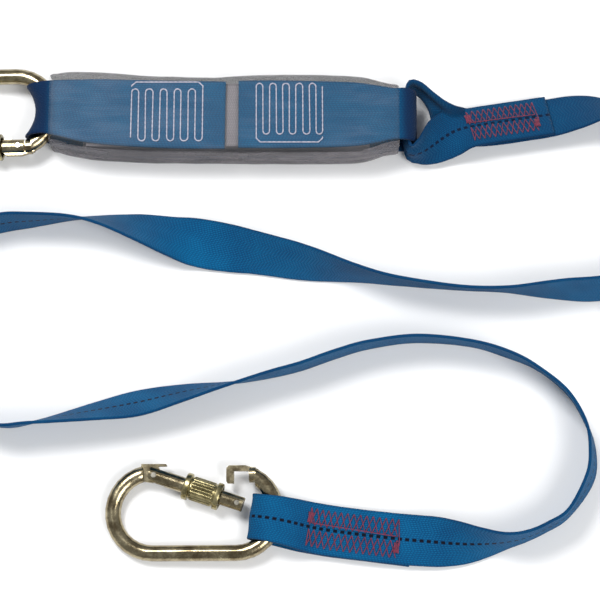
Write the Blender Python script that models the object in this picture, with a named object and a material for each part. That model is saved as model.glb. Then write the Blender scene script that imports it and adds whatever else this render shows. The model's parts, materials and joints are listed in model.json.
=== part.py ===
"""Shock absorbing lanyard: a folded-webbing energy absorber in a clear cover, one length of
webbing with two sewn eyes, and an oval screw-gate karabiner at each end.
Metres, +Z up, +X along the absorber; the origin is the middle of the absorber's flat base."""

import math

import bmesh
import bpy
import numpy as np
from mathutils import Matrix, Vector

MM = 0.001

# karabiner, in its own plane: x along the spine, y towards the gate, z through the rod
ROD_D = 9.6 * MM
BOW_R = 23.9 * MM
HALF_STRAIGHT = 24.7 * MM
GATE_Y = 22.2 * MM
GATE_D = 9.4 * MM
HINGE_INSET = 0.6 * MM  # the hinge, short of the end of the straight
HINGE_X = -(HALF_STRAIGHT - HINGE_INSET)
GATE_PAST = 7.1 * MM  # the gate tip, past the other end of the straight
GATE_LENGTH = HALF_STRAIGHT + GATE_PAST - HINGE_X
GATE_HEEL = 3.4 * MM
NOSE_PAST = 8.0 * MM
NOSE_X = HALF_STRAIGHT + NOSE_PAST
SHOULDER_PAST = 11.5 * MM
SHOULDER_X = HALF_STRAIGHT + SHOULDER_PAST
TANG_PAST = 5.9 * MM
TANG_ROD_X = -(HALF_STRAIGHT + TANG_PAST)
TANG_T = 3.6 * MM
TANG_HEEL = 3.7 * MM
SLOT_GAP = 0.3 * MM
HINGE_SLOT_DEPTH = 9.4 * MM
TONGUE_T = 3.6 * MM
TONGUE_RISE = 0.9 * MM
LIP_INSET = 1.1 * MM
LIP_X1 = HALF_STRAIGHT - LIP_INSET
LIP_LENGTH = 4.6 * MM
LIP_X0 = LIP_X1 - LIP_LENGTH
LIP_Y = 17.0 * MM
NOTCH_Y = 24.3 * MM
NOSE_SLOT_DEPTH = 14.3 * MM
RIVET_D = 3.2 * MM
RIVET_HOLE_GAP = 0.15 * MM
LATCH_D = 3.0 * MM
LATCH_INSET = 3.7 * MM
LATCH_L = GATE_LENGTH - LATCH_INSET
SPRING_BORE_D = 5.6 * MM
SPRING_BORE_END = 27.0 * MM
SPRING_D = 4.4 * MM
SPRING_WIRE_D = 0.6 * MM
SPRING_TURNS = 8
PLUNGER_D = 4.8 * MM
PLUNGER_L = 5.0 * MM
PLUNGER_GAP = 0.3 * MM

# screw sleeve
SLEEVE_LENGTH = 22.8 * MM
SLEEVE_SHY = 13.9 * MM  # how far short of the gate tip the sleeve rests
SLEEVE_FRONT = GATE_LENGTH - SLEEVE_SHY
SLEEVE_BORE_D = 10.1 * MM
COUNTERBORE_D = 12.4 * MM
COUNTERBORE_L = 10.6 * MM
COLLAR_D = 16.4 * MM
COLLAR_W = 3.6 * MM
BARREL_D = 14.6 * MM
GROOVE_D = 13.6 * MM
GROOVE_W = 1.0 * MM
FLUTES = 16
FLUTE_DEPTH = 0.5 * MM

# how each karabiner lies: bow centre, slopes along and across, gate angle
HARNESS_BOW = Vector((-131.0, 5.5, 11.4)) * MM
HARNESS_SLOPE = (0.080, 0.020)
HARNESS_GATE_DEG = 0.0
ANCHOR_BOW = Vector((7.7, -242.0, 9.2)) * MM
ANCHOR_SLOPE = (0.0525, 0.050)
ANCHOR_GATE_DEG = -18.5

# webbing
STRAP_W = 30.0 * MM
STRAP_T = 2.0 * MM
LOOP_W = 41.0 * MM
LOOP_T = 2.2 * MM
CORE_W = 40.0 * MM
CORE_T = 2.2 * MM
CORE_PITCH = 2.6 * MM
CORE_LAYERS = 8
CORE_BOTTOM = 4.0 * MM
CORE_X0 = -85.0 * MM
CORE_X1 = 86.0 * MM

# clear cover: along X, front Y, back Y, top Z
COVER_T = 0.8 * MM
COVER_RADIUS = 3.2 * MM
COVER = [
    (-108.0, -16.5, 25.6, 28.0),
    (-96.0, -20.5, 27.8, 28.9),
    (-78.0, -23.2, 27.2, 28.9),
    (-45.0, -24.6, 24.8, 28.9),
    (-8.0, -25.0, 23.6, 28.9),
    (3.0, -25.2, 24.6, 28.9),
    (20.0, -25.2, 25.6, 28.9),
    (52.0, -25.3, 25.6, 28.9),
    (78.0, -25.3, 24.8, 28.9),
    (93.0, -23.4, 23.0, 29.2),
    (106.5, -20.4, 19.8, 29.8),
]

# stitching
THREAD_D = 0.9 * MM
RED_THREAD_D = 0.8 * MM
THREAD_CLEAR = 0.2 * MM
RED_THREAD_CLEAR = 0.45 * MM
NEAR_SEAM_START = 9.0 * MM
NEAR_SEAM_END = 50.0 * MM
FAR_SEAM_START = 193.0 * MM
FAR_SEAM_END = 139.0 * MM

# centreline of the lanyard webbing: x, y, z in mm, heading and roll in degrees, width share
LANYARD = [
    (200.5, 4.6, 9.6, 188, 22, 1.0),
    (185.0, 2.2, 9.6, 188, 22, 1.0),
    (165.0, -0.9, 9.6, 188, 22, 1.0),
    (150.0, -3.6, 9.9, 190, 20, 1.0),
    (141.0, -6.4, 10.6, 197, 4, 0.98),
    (133.0, -11.4, 12.4, 206, -24, 0.94),
    (126.0, -16.6, 14.0, 206, -46, 0.88),
    (119.6, -20.4, 15.0, 194, -66, 0.8),
    (113.4, -21.2, 15.0, 152, -80, 0.65),
    (110.8, -14.0, 14.9, 100, -88, 0.65),
    (110.6, -4.0, 15.0, 90, -90, 0.66),
    (110.6, 5.0, 15.0, 90, -90, 0.66),
    (110.8, 14.0, 15.0, 82, -92, 0.66),
    (113.4, 21.4, 15.0, 24, -93, 0.67),
    (119.6, 20.0, 15.0, -32, -93, 0.70),
    (126.0, 14.2, 14.2, -44, -97, 0.68),
    (131.5, 8.4, 12.4, -42, -112, 0.66),
    (137.0, 3.2, 9.2, -34, -146, 0.68),
    (143.0, -0.6, 6.7, -14, -184, 0.82),
    (151.0, -2.2, 6.7, 2, -199, 0.96),
    (165.0, -1.7, 7.2, 8, -202, 1.0),
    (185.0, 1.3, 7.2, 8, -202, 1.0),
    (201.0, 3.7, 7.4, 7, -204, 1.0),
    (217.0, 6.6, 9.4, 6, -211, 1.0),
    (232.0, 7.6, 12.1, 0, -226, 1.0),
    (249.0, 5.0, 15.1, -14, -248, 1.0),
    (268.0, -4.5, 15.4, -36, -262, 1.0),
    (284.0, -22.0, 15.4, -60, -268, 1.0),
    (291.5, -45.0, 15.4, -84, -270, 1.0),
    (288.0, -69.0, 15.4, -112, -268, 1.0),
    (274.0, -89.0, 15.4, -138, -262, 1.0),
    (252.0, -102.0, 15.2, -162, -256, 1.0),
    (227.0, -107.0, 15.1, -180, -254, 1.0),
    (202.0, -107.5, 15.4, -180, -261, 1.0),
    (173.0, -107.5, 15.4, -180, -277, 1.0),
    (150.0, -107.0, 15.4, -181, -280, 1.0),
    (127.0, -105.0, 15.4, -186, -278, 1.0),
    (100.0, -101.5, 15.4, -190, -273, 1.0),
    (77.0, -97.0, 15.4, -192, -262, 1.0),
    (46.0, -90.0, 13.6, -193, -238, 1.0),
    (15.0, -83.0, 11.2, -192, -222, 1.0),
    (-12.0, -77.0, 6.0, -192, -192, 1.0),
    (-33.0, -72.5, 7.4, -191, -157, 1.0),
    (-56.0, -67.5, 12.2, -190, -132, 1.0),
    (-76.0, -64.0, 14.6, -186, -113, 1.0),
    (-94.0, -62.5, 15.3, -180, -101, 1.0),
    (-119.0, -64.0, 15.4, -178, -89, 1.0),
    (-137.0, -66.0, 15.4, -174, -84, 1.0),
    (-162.0, -73.0, 15.4, -156, -86, 1.0),
    (-182.0, -89.0, 15.4, -126, -90, 1.0),
    (-192.0, -112.0, 15.4, -100, -90, 1.0),
    (-192.0, -137.0, 15.4, -80, -90, 1.0),
    (-182.0, -161.0, 15.4, -54, -90, 1.0),
    (-163.0, -180.0, 15.4, -30, -88, 1.0),
    (-136.0, -190.5, 15.4, -10, -83, 1.0),
    (-114.0, -189.0, 15.4, 6, -80, 1.0),
    (-76.0, -182.0, 13.9, 10, -61, 1.0),
    (-51.0, -177.0, 12.6, 12, -51, 1.0),
    (-24.0, -171.0, 14.1, 13, -62, 1.0),
    (6.0, -165.0, 15.2, 12, -79, 1.0),
    (27.0, -160.0, 15.4, 14, -86, 1.0),
    (46.0, -155.0, 15.4, 17, -88, 1.0),
    (67.0, -147.5, 15.4, 15, -88, 1.0),
    (88.0, -141.5, 15.4, 11, -87, 1.0),
    (117.0, -138.0, 15.4, 0, -86, 1.0),
    (149.0, -141.0, 15.4, -12, -84, 1.0),
    (172.0, -148.0, 15.4, -21, -84, 1.0),
    (189.0, -156.5, 15.2, -31, -80, 1.0),
    (206.0, -171.0, 15.2, -50, -80, 1.0),
    (216.5, -190.0, 15.3, -72, -80, 1.0),
    (219.5, -207.0, 15.2, -90, -76, 1.0),
    (217.0, -223.0, 15.2, -108, -76, 1.0),
    (204.0, -243.0, 15.4, -138, -84, 1.0),
    (191.0, -251.5, 15.4, -152, -85, 1.0),
    (179.0, -256.8, 15.4, -163, -84, 1.0),
    (167.0, -259.6, 15.2, -172, -78, 1.0),
    (153.0, -260.6, 13.6, -178, -60, 1.0),
    (138.0, -260.3, 10.6, -182, -36, 1.0),
    (122.0, -259.0, 7.6, -185, -14, 1.0),
    (106.0, -257.6, 6.0, -186, -4, 1.0),
    (84.0, -255.2, 5.9, -187, 0, 1.0),
    (64.0, -252.6, 6.0, -187, 0, 1.0),
    (55.0, -251.2, 7.2, -187, 0, 1.0),
    (48.0, -250.0, 10.4, -188, 0, 0.98),
    (39.5, -248.4, 15.4, -188, 0, 0.95),
    (31.0, -246.8, 16.9, -188, 0, 0.92),
    (22.5, -245.4, 15.4, -187, 0, 0.9),
    (16.5, -244.4, 9.6, -187, 0, 0.9),
    (21.0, -245.2, 3.6, -187, 0, 0.9),
    (30.0, -246.7, 2.4, -188, 0, 0.92),
    (46.0, -249.8, 2.3, -188, 0, 0.98),
    (66.0, -253.0, 2.6, -187, 0, 1.0),
    (84.0, -255.2, 3.3, -187, 0, 1.0),
    (100.0, -257.2, 3.2, -187, 0, 1.0),
    (112.0, -258.6, 2.6, -187, 0, 1.0),
]

# loops of the absorber, drawn in the XZ plane: x, y, z in mm, heading, roll, width share, and how
# far the edges run ahead of the middle along -X, in mm
HARNESS_LOOP = [
    (0.0, -0.6, 25.7, 180, 0, 1.05, 0),
    (-40.0, 0.0, 25.7, 180, 0, 1.05, 0),
    (-80.0, 2.0, 25.7, 180, 0, 1.0, 0),
    (-96.0, 4.0, 25.4, 180, 0, 0.9, 1),
    (-106.0, 5.4, 24.0, 180, 0, 0.82, 3.2),
    (-112.5, 5.5, 21.4, 180, 0, 0.80, 5.4),
    (-116.3, 5.5, 16.2, 180, 0, 0.80, 6.2),
    (-116.3, 5.5, 9.6, 180, 0, 0.80, 6.2),
    (-112.5, 5.5, 4.8, 180, 0, 0.80, 5.4),
    (-106.0, 5.4, 2.9, 180, 0, 0.82, 3.2),
    (-96.0, 4.0, 2.4, 180, 0, 0.9, 1),
    (-80.0, 2.0, 2.4, 180, 0, 1.0, 0),
    (-40.0, 0.0, 2.4, 180, 0, 1.05, 0),
    (0.0, -0.6, 2.4, 180, 0, 1.05, 0),
]
LANYARD_LOOP = [
    (8.0, 0.0, 25.7, 0, 0, 1.05, 0),
    (40.0, 0.0, 25.7, 0, 0, 1.05, 0),
    (76.0, 0.0, 25.7, 0, 0, 1.0, 0),
    (92.0, 0.0, 26.2, 0, 0, 0.9, 0),
    (103.0, 0.0, 27.1, 0, 0, 0.80, 0),
    (110.6, 0.0, 27.2, 0, 0, 0.80, 0),
    (115.6, 0.0, 22.5, 0, 0, 0.80, 0),
    (116.6, 0.0, 15.0, 0, 0, 0.80, 0),
    (115.6, 0.0, 7.5, 0, 0, 0.80, 0),
    (110.6, 0.0, 2.7, 0, 0, 0.80, 0),
    (103.0, 0.0, 2.4, 0, 0, 0.80, 0),
    (92.0, 0.0, 2.4, 0, 0, 0.9, 0),
    (76.0, 0.0, 2.4, 0, 0, 1.0, 0),
    (40.0, 0.0, 2.4, 0, 0, 1.05, 0),
    (8.0, 0.0, 2.4, 0, 0, 1.05, 0),
]


def clear_scene():
    for obj in list(bpy.data.objects):
        bpy.data.objects.remove(obj)


def new_collection(name):
    group = bpy.data.collections.new(name)
    bpy.context.scene.collection.children.link(group)
    return group


def material(name, colour, metallic, roughness, alpha=1.0):
    mat = bpy.data.materials.new(name)
    mat.use_nodes = True
    shader = mat.node_tree.nodes["Principled BSDF"]
    shader.inputs["Base Color"].default_value = (*colour, 1.0)
    shader.inputs["Metallic"].default_value = metallic
    shader.inputs["Roughness"].default_value = roughness
    shader.inputs["Alpha"].default_value = alpha
    mat.diffuse_color = (*colour, alpha)
    return mat


def add_mesh(group, name, points, faces, mat=None, smooth=False):
    mesh = bpy.data.meshes.new(name)
    mesh.from_pydata([tuple(p) for p in points], [], faces)
    mesh.validate()
    bm = bmesh.new()
    bm.from_mesh(mesh)
    bmesh.ops.recalc_face_normals(bm, faces=bm.faces)
    bm.to_mesh(mesh)
    bm.free()
    if mat:
        mesh.materials.append(mat)
    for face in mesh.polygons:
        face.use_smooth = smooth
    obj = bpy.data.objects.new(name, mesh)
    group.objects.link(obj)
    return obj


def ring_loft(rings, closed=False):
    """Points and faces of a skin through equal rings, capped at its ends unless closed."""
    count = len(rings[0])
    points = [p for ring in rings for p in ring]
    faces = []
    last = len(rings) if closed else len(rings) - 1
    for i in range(last):
        a = i * count
        b = ((i + 1) % len(rings)) * count
        for k in range(count):
            n = (k + 1) % count
            faces.append((a + k, a + n, b + n, b + k))
    if not closed:
        faces.append(tuple(range(count))[::-1])
        faces.append(tuple((len(rings) - 1) * count + k for k in range(count)))
    return points, faces


def catmull(rows, t):
    i = min(int(t), len(rows) - 2)
    f = t - i
    p0 = rows[max(i - 1, 0)]
    p1 = rows[i]
    p2 = rows[i + 1]
    p3 = rows[min(i + 2, len(rows) - 1)]
    return 0.5 * (
        2 * p1
        + (p2 - p0) * f
        + (2 * p0 - 5 * p1 + 4 * p2 - p3) * f * f
        + (3 * p1 - p0 - 3 * p2 + p3) * f ** 3
    )


def ribbon_frames(stations, turn_deg, longest):
    """Centre, width direction, face direction and width share along smoothed stations."""
    rows = np.array(stations, float)
    fine = np.array([catmull(rows, t) for t in np.linspace(0, len(rows) - 1, 12 * len(rows))])
    centre = fine[:, :3] * MM
    heading = np.radians(fine[:, 3])
    roll = np.radians(fine[:, 4])
    side = np.stack([-np.sin(heading), np.cos(heading), 0 * heading], 1)
    width = side * np.cos(roll)[:, None] + np.array([0, 0, 1]) * np.sin(roll)[:, None]
    tangent = np.gradient(centre, axis=0)
    tangent /= np.linalg.norm(tangent, axis=1)[:, None]
    width -= tangent * (width * tangent).sum(1)[:, None]
    width /= np.linalg.norm(width, axis=1)[:, None]
    face = np.cross(tangent, width)
    keep = [0]
    for i in range(1, len(centre) - 1):
        j = keep[-1]
        far = np.linalg.norm(centre[i] - centre[j])
        bend = math.degrees(math.acos(min(1, float(tangent[i] @ tangent[j]))))
        twist = math.degrees(math.acos(min(1, float(width[i] @ width[j]))))
        if far > longest or bend > turn_deg or twist > turn_deg:
            keep.append(i)
    keep.append(len(centre) - 1)
    return centre[keep], width[keep], face[keep], fine[keep, 5:]


def ribbon(group, name, stations, wide, thick, mat, turn_deg=9, longest=16 * MM):
    centre, width, face, share = ribbon_frames(stations, turn_deg, longest)
    edge = 0.35 * thick
    rings = []
    for c, w, f, s in zip(centre, width, face, share):
        a = wide * s[0] / 2
        b = thick / 2
        ahead = s[1] * MM if len(s) > 1 else 0.0
        inner = (0.66, 0.33, 0.0, -0.33, -0.66) if len(s) > 1 else ()
        corners = [(a, b - edge), (a - edge, b)] + [(a * k, b) for k in inner]
        corners += [(-a + edge, b), (-a, b - edge)]
        corners += [(-x, -y) for x, y in corners]
        bend = [np.array([-ahead * (x / a) ** 2, 0.0, 0.0]) for x, _ in corners]
        rings.append([c + w * x + f * y + m for (x, y), m in zip(corners, bend)])
    points, faces = ring_loft(rings)
    return add_mesh(group, name, points, faces, mat)


def core_stations():
    """Side view of the folded tear webbing: level runs joined by half turns at the ends."""
    rows = []
    for layer in range(CORE_LAYERS):
        z = (CORE_BOTTOM + CORE_T / 2 + layer * CORE_PITCH) / MM
        ends = (CORE_X0 / MM, CORE_X1 / MM)
        if layer % 2:
            ends = ends[::-1]
        rows.append((ends[0], 0.0, z))
        rows.append((ends[1], 0.0, z))
    return rows


def folded_core(group, mat):
    rows = core_stations()
    outline = []
    half = CORE_T / 2 / MM
    path = []
    for layer in range(CORE_LAYERS):
        a, b = rows[2 * layer], rows[2 * layer + 1]
        path += [(a[0], a[2]), (b[0], b[2])]
        if layer < CORE_LAYERS - 1:
            way = 1 if b[0] > a[0] else -1
            r = CORE_PITCH / 2 / MM
            for k in range(1, 4):
                angle = -math.pi / 2 + k * math.pi / 4
                path.append((b[0] + way * r * math.cos(angle), b[2] + r + r * math.sin(angle)))
    left, right = [], []
    for i, (x, z) in enumerate(path):
        before = path[max(i - 1, 0)]
        after = path[min(i + 1, len(path) - 1)]
        dx, dz = after[0] - before[0], after[1] - before[1]
        n = math.hypot(dx, dz)
        left.append((x - dz / n * half, z + dx / n * half))
        right.append((x + dz / n * half, z - dx / n * half))
    outline = left + right[::-1]
    count = len(outline)
    points = [(x * MM, y, z * MM) for y in (-CORE_W / 2, CORE_W / 2) for x, z in outline]
    faces = [(k, (k + 1) % count, count + (k + 1) % count, count + k) for k in range(count)]
    faces.append(tuple(range(count))[::-1])
    faces.append(tuple(count + k for k in range(count)))
    return add_mesh(group, "tear_webbing_core", points, faces, mat)


def cover_ring(x, front, back, top, inset):
    y0, y1 = front * MM + inset, back * MM - inset
    z0, z1 = inset, top * MM - inset
    r = COVER_RADIUS - inset
    ring = []
    for cy, cz, start in ((y1 - r, z1 - r, 0), (y0 + r, z1 - r, 90), (y0 + r, z0 + r, 180), (y1 - r, z0 + r, 270)):
        for step in range(4):
            a = math.radians(start + 30 * step)
            ring.append((x * MM, cy + r * math.cos(a), cz + r * math.sin(a)))
    return ring


def cover(group, mat):
    outer = [cover_ring(*row, 0.0) for row in COVER]
    inner = [cover_ring(*row, COVER_T) for row in COVER]
    points, faces = ring_loft(outer + inner[::-1], closed=True)
    return add_mesh(group, "absorber_cover", points, faces, mat)


def tube(group, name, points, diameter, mat):
    """A thread or wire: a bevelled polyline turned into one closed mesh."""
    curve = bpy.data.curves.new(name + "_line", "CURVE")
    curve.dimensions = "3D"
    spline = curve.splines.new("POLY")
    spline.points.add(len(points) - 1)
    for point, place in zip(spline.points, points):
        point.co = (*place, 1.0)
    curve.bevel_depth = diameter / 2
    curve.bevel_resolution = 1
    curve.use_fill_caps = True
    curve.twist_mode = "MINIMUM"
    source = bpy.data.objects.new(name + "_line", curve)
    group.objects.link(source)
    graph = bpy.context.evaluated_depsgraph_get()
    graph.update()
    mesh = bpy.data.meshes.new_from_object(source.evaluated_get(graph))
    bpy.data.objects.remove(source)
    bm = bmesh.new()
    bm.from_mesh(mesh)
    bmesh.ops.remove_doubles(bm, verts=bm.verts, dist=1e-7)
    bmesh.ops.recalc_face_normals(bm, faces=bm.faces)
    bm.to_mesh(mesh)
    bm.free()
    mesh.name = name
    mesh.materials.clear()
    mesh.materials.append(mat)
    for face in mesh.polygons:
        face.use_smooth = True
    obj = bpy.data.objects.new(name, mesh)
    group.objects.link(obj)
    return obj


def framed_serpentine(first, pitch, columns, edge, turn, bottom):
    """Columns across the webbing joined by round turns. The first column runs on to the edge,
    and a line along the webbing goes from there to just short of the last column's turn."""
    r = abs(pitch) / 2
    side = math.copysign(1.0, edge - bottom)
    last = first + pitch * (columns - 1)
    line = [(last, turn + side * 1.4 * MM), (last, edge - side * 2.4 * MM), (last - pitch * 0.6, edge)]
    line += [(first + pitch * 0.6, edge), (first, edge - side * 2.4 * MM)]
    for k in range(columns):
        x = first + pitch * k
        low = bottom + side * r
        high = turn - side * r
        if k == 0:
            high = edge - side * 2.6 * MM
        ends = (high, low) if k % 2 == 0 else (low, high)
        line += [(x, ends[0]), (x, ends[1])]
        if k < columns - 1:
            way = -side if k % 2 == 0 else side
            middle = bottom + side * r if k % 2 == 0 else turn - side * r
            for a in (45, 90, 135):
                c = math.radians(a)
                line.append((x + pitch / 2 * (1 - math.cos(c)), middle + way * r * math.sin(c)))
    return line


def white_stitching(group, mat):
    z = (25.7 * MM) + LOOP_T / 2 + THREAD_CLEAR + THREAD_D / 2
    harness = framed_serpentine(-14.0 * MM, -4.35 * MM, 11, 20.2 * MM, 15.8 * MM, -17.5 * MM)
    lanyard = framed_serpentine(19.0 * MM, 4.05 * MM, 11, -18.2 * MM, -13.2 * MM, 19.4 * MM)
    for name, line in (("harness_side_stitching", harness), ("lanyard_side_stitching", lanyard)):
        tube(group, name, [(x, y, z) for x, y in line], THREAD_D, mat)


def strap_at(frames, lengths, s):
    """Centre, width direction and face direction at a length along the webbing."""
    i = int(np.clip(np.searchsorted(lengths, s) - 1, 0, len(lengths) - 2))
    f = (s - lengths[i]) / (lengths[i + 1] - lengths[i])
    mixed = [row[i] * (1 - f) + row[i + 1] * f for row in frames]
    return mixed[0], mixed[1] / np.linalg.norm(mixed[1]), mixed[2] / np.linalg.norm(mixed[2])


def sewn_line(start, end, half, repeats):
    """Zigzag one way and mirrored back, on the tracer face, between two lengths."""
    centre, width, face, _ = ribbon_frames(LANYARD, 9, 16 * MM)
    frames = (centre, width, face)
    gaps = np.linalg.norm(np.diff(centre, axis=0), axis=1)
    lengths = np.concatenate([[0.0], np.cumsum(gaps)])
    total = lengths[-1]
    start, end = (start, end) if end > 0 else (total + start, total + end)
    lift = STRAP_T / 2 + RED_THREAD_CLEAR + RED_THREAD_D / 2
    line = []
    for k in range(repeats + 1):
        c, w, f = strap_at(frames, lengths, start + (end - start) * k / repeats)
        line.append(c + w * half * (1 if k % 2 else -1) + f * lift)
    return line


def red_stitching(group, mat):
    near = sewn_line(NEAR_SEAM_START, NEAR_SEAM_END, 11.5 * MM, 14)
    tube(group, "near_eye_stitching", near, RED_THREAD_D, mat)
    far = sewn_line(-FAR_SEAM_START, -FAR_SEAM_END, 11.5 * MM, 16)
    tube(group, "far_eye_stitching", far, RED_THREAD_D, mat)


# ---------------------------------------------------------------- karabiner


def frame_matrix(bow, slopes, flip):
    """Local karabiner axes in the world: bow centre at x = HALF_STRAIGHT, y = 0."""
    x = Vector((1.0, 0.0, slopes[0])).normalized()
    across = -1.0 if flip else 1.0
    y = Vector((0.0, across, slopes[1]))
    y = (y - x * y.dot(x)).normalized()
    z = x.cross(y)
    rot = Matrix((x, y, z)).transposed().to_4x4()
    return Matrix.Translation(bow) @ rot @ Matrix.Translation((-HALF_STRAIGHT, 0, 0))


def gate_matrix(frame, degrees):
    hinge = Matrix.Translation((HINGE_X, GATE_Y, 0))
    return frame @ hinge @ Matrix.Rotation(math.radians(degrees), 4, "Z")


def round_bar(group, name, start, end, diameter, sides=20):
    """A straight cylinder between two points, as a mesh with its points in place."""
    a, b = Vector(start), Vector(end)
    axis = (b - a).normalized()
    other = Vector((0, 0, 1)) if abs(axis.z) < 0.9 else Vector((1, 0, 0))
    u = axis.cross(other).normalized()
    v = axis.cross(u)
    rings = []
    for place in (a, b):
        ring = []
        for k in range(sides):
            t = 2 * math.pi * k / sides
            ring.append(place + (u * math.cos(t) + v * math.sin(t)) * diameter / 2)
        rings.append(ring)
    points, faces = ring_loft(rings)
    return add_mesh(group, name, points, faces, smooth=False)


def box(group, name, x0, x1, y0, y1, z0, z1):
    points = [(x, y, z) for x in (x0, x1) for y in (y0, y1) for z in (z0, z1)]
    faces = [(0, 1, 3, 2), (4, 6, 7, 5), (0, 4, 5, 1), (2, 3, 7, 6), (0, 2, 6, 4), (1, 5, 7, 3)]
    return add_mesh(group, name, points, faces)


def plate(group, name, outline, thickness):
    """A flat plate of this outline, centred on z = 0."""
    count = len(outline)
    points = [(x, y, z) for z in (-thickness / 2, thickness / 2) for x, y in outline]
    faces = [(k, (k + 1) % count, count + (k + 1) % count, count + k) for k in range(count)]
    faces.append(tuple(range(count))[::-1])
    faces.append(tuple(count + k for k in range(count)))
    return add_mesh(group, name, points, faces)


def combine(body, tools):
    """Applies (operation, object) pairs to a mesh with exact Booleans and removes the tools."""
    for k, (operation, tool) in enumerate(tools):
        step = body.modifiers.new(f"step{k}", "BOOLEAN")
        step.operation = operation
        step.solver = "EXACT"
        step.object = tool
        tool.hide_render = True
        tool.display_type = "WIRE"
    graph = bpy.context.evaluated_depsgraph_get()
    graph.update()
    mesh = bpy.data.meshes.new_from_object(body.evaluated_get(graph))
    body.modifiers.clear()
    body.data = mesh
    for _, tool in tools:
        bpy.data.objects.remove(tool)
    return body


def finish(obj, name, matrix, mat, smooth_deg=35.0):
    obj.name = name
    obj.data.name = name
    obj.matrix_world = matrix
    obj.data.materials.clear()
    obj.data.materials.append(mat)
    for face in obj.data.polygons:
        face.use_smooth = True
        face.material_index = 0
    obj.data.set_sharp_from_angle(angle=math.radians(smooth_deg))
    return obj


def bow_path():
    """Centreline of the bent rod from the hinge end round the spine to the nose end."""
    line = []
    first = math.radians(90 + 12)
    for k in range(15):
        t = first + (math.pi * 1.5 - first) * k / 14
        line.append((-HALF_STRAIGHT + BOW_R * math.cos(t), BOW_R * math.sin(t)))
    last = math.radians(90 - 15)
    for k in range(15):
        t = -math.pi / 2 + (last + math.pi / 2) * k / 14
        line.append((HALF_STRAIGHT + BOW_R * math.cos(t), BOW_R * math.sin(t)))
    return line


def karabiner_rod(group, sides=20):
    path = bow_path()
    rings = []
    for i, (x, y) in enumerate(path):
        before = path[max(i - 1, 0)]
        after = path[min(i + 1, len(path) - 1)]
        dx, dy = after[0] - before[0], after[1] - before[1]
        n = math.hypot(dx, dy)
        nx, ny = dy / n, -dx / n
        ring = []
        for k in range(sides):
            t = 2 * math.pi * k / sides
            r = ROD_D / 2
            ring.append((x + nx * r * math.cos(t), y + ny * r * math.cos(t), r * math.sin(t)))
        rings.append(ring)
    points, faces = ring_loft(rings)
    return add_mesh(group, "rod", points, faces)


def tang_outline():
    """Hinge tang: root in the rod, round heel inside the gate fork, stop tab above the gate."""
    hx, hy = HINGE_X, GATE_Y
    top = hy + GATE_D / 2 + 2.0 * MM
    line = [(TANG_ROD_X - 1.2 * MM, hy - 3.6 * MM), (hx - 1.0 * MM, hy - 4.6 * MM)]
    line += [(hx + 1.6 * MM, hy - 4.2 * MM), (hx + TANG_HEEL, hy - 2.4 * MM)]
    line += [(hx + TANG_HEEL, hy + 2.4 * MM), (hx + 2.6 * MM, hy + GATE_D / 2 + 0.5 * MM)]
    line += [(hx + 7.6 * MM, hy + GATE_D / 2 + 0.5 * MM), (hx + 7.6 * MM, top - 0.6 * MM)]
    line += [(hx + 7.0 * MM, top), (TANG_ROD_X - 1.2 * MM, top)]
    return line


def tongue_outline():
    """Nose tongue over the gate tip, its hooked lip turned down into the gate slot."""
    top = GATE_Y + GATE_D / 2 + TONGUE_RISE
    line = [(SHOULDER_X + 2.0 * MM, NOTCH_Y), (LIP_X1, NOTCH_Y), (LIP_X1, LIP_Y)]
    line += [(LIP_X0 + 0.8 * MM, LIP_Y), (LIP_X0, LIP_Y + 1.4 * MM), (LIP_X0, top - 1.6 * MM)]
    line += [(LIP_X0 + 1.6 * MM, top), (SHOULDER_X - 6.0 * MM, top), (SHOULDER_X + 2.0 * MM, top - 2.4 * MM)]
    return line


def karabiner_frame(group, tools, name, matrix, mat):
    rod = karabiner_rod(group)
    far = 40 * MM
    cut_nose = box(tools, "cut_nose", -20 * MM, SHOULDER_X, 6 * MM, far, -far / 2, far / 2)
    cut_hinge = box(tools, "cut_hinge", TANG_ROD_X, 0, 6 * MM, far, -far / 2, far / 2)
    spigot = round_bar(
        tools,
        "spigot",
        (NOSE_X, GATE_Y, 0),
        (SHOULDER_X + 0.4 * MM, GATE_Y, 0),
        GATE_D,
    )
    tang = plate(tools, "tang", tang_outline(), TANG_T)
    tongue = plate(tools, "tongue", tongue_outline(), TONGUE_T)
    hole = round_bar(
        tools,
        "hole",
        (HINGE_X, GATE_Y, -far / 2),
        (HINGE_X, GATE_Y, far / 2),
        RIVET_D + 2 * RIVET_HOLE_GAP,
        14,
    )
    steps = [("DIFFERENCE", cut_nose), ("DIFFERENCE", cut_hinge), ("UNION", spigot)]
    steps += [("UNION", tang), ("UNION", tongue), ("DIFFERENCE", hole)]
    return finish(combine(rod, steps), name, matrix, mat)


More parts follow.
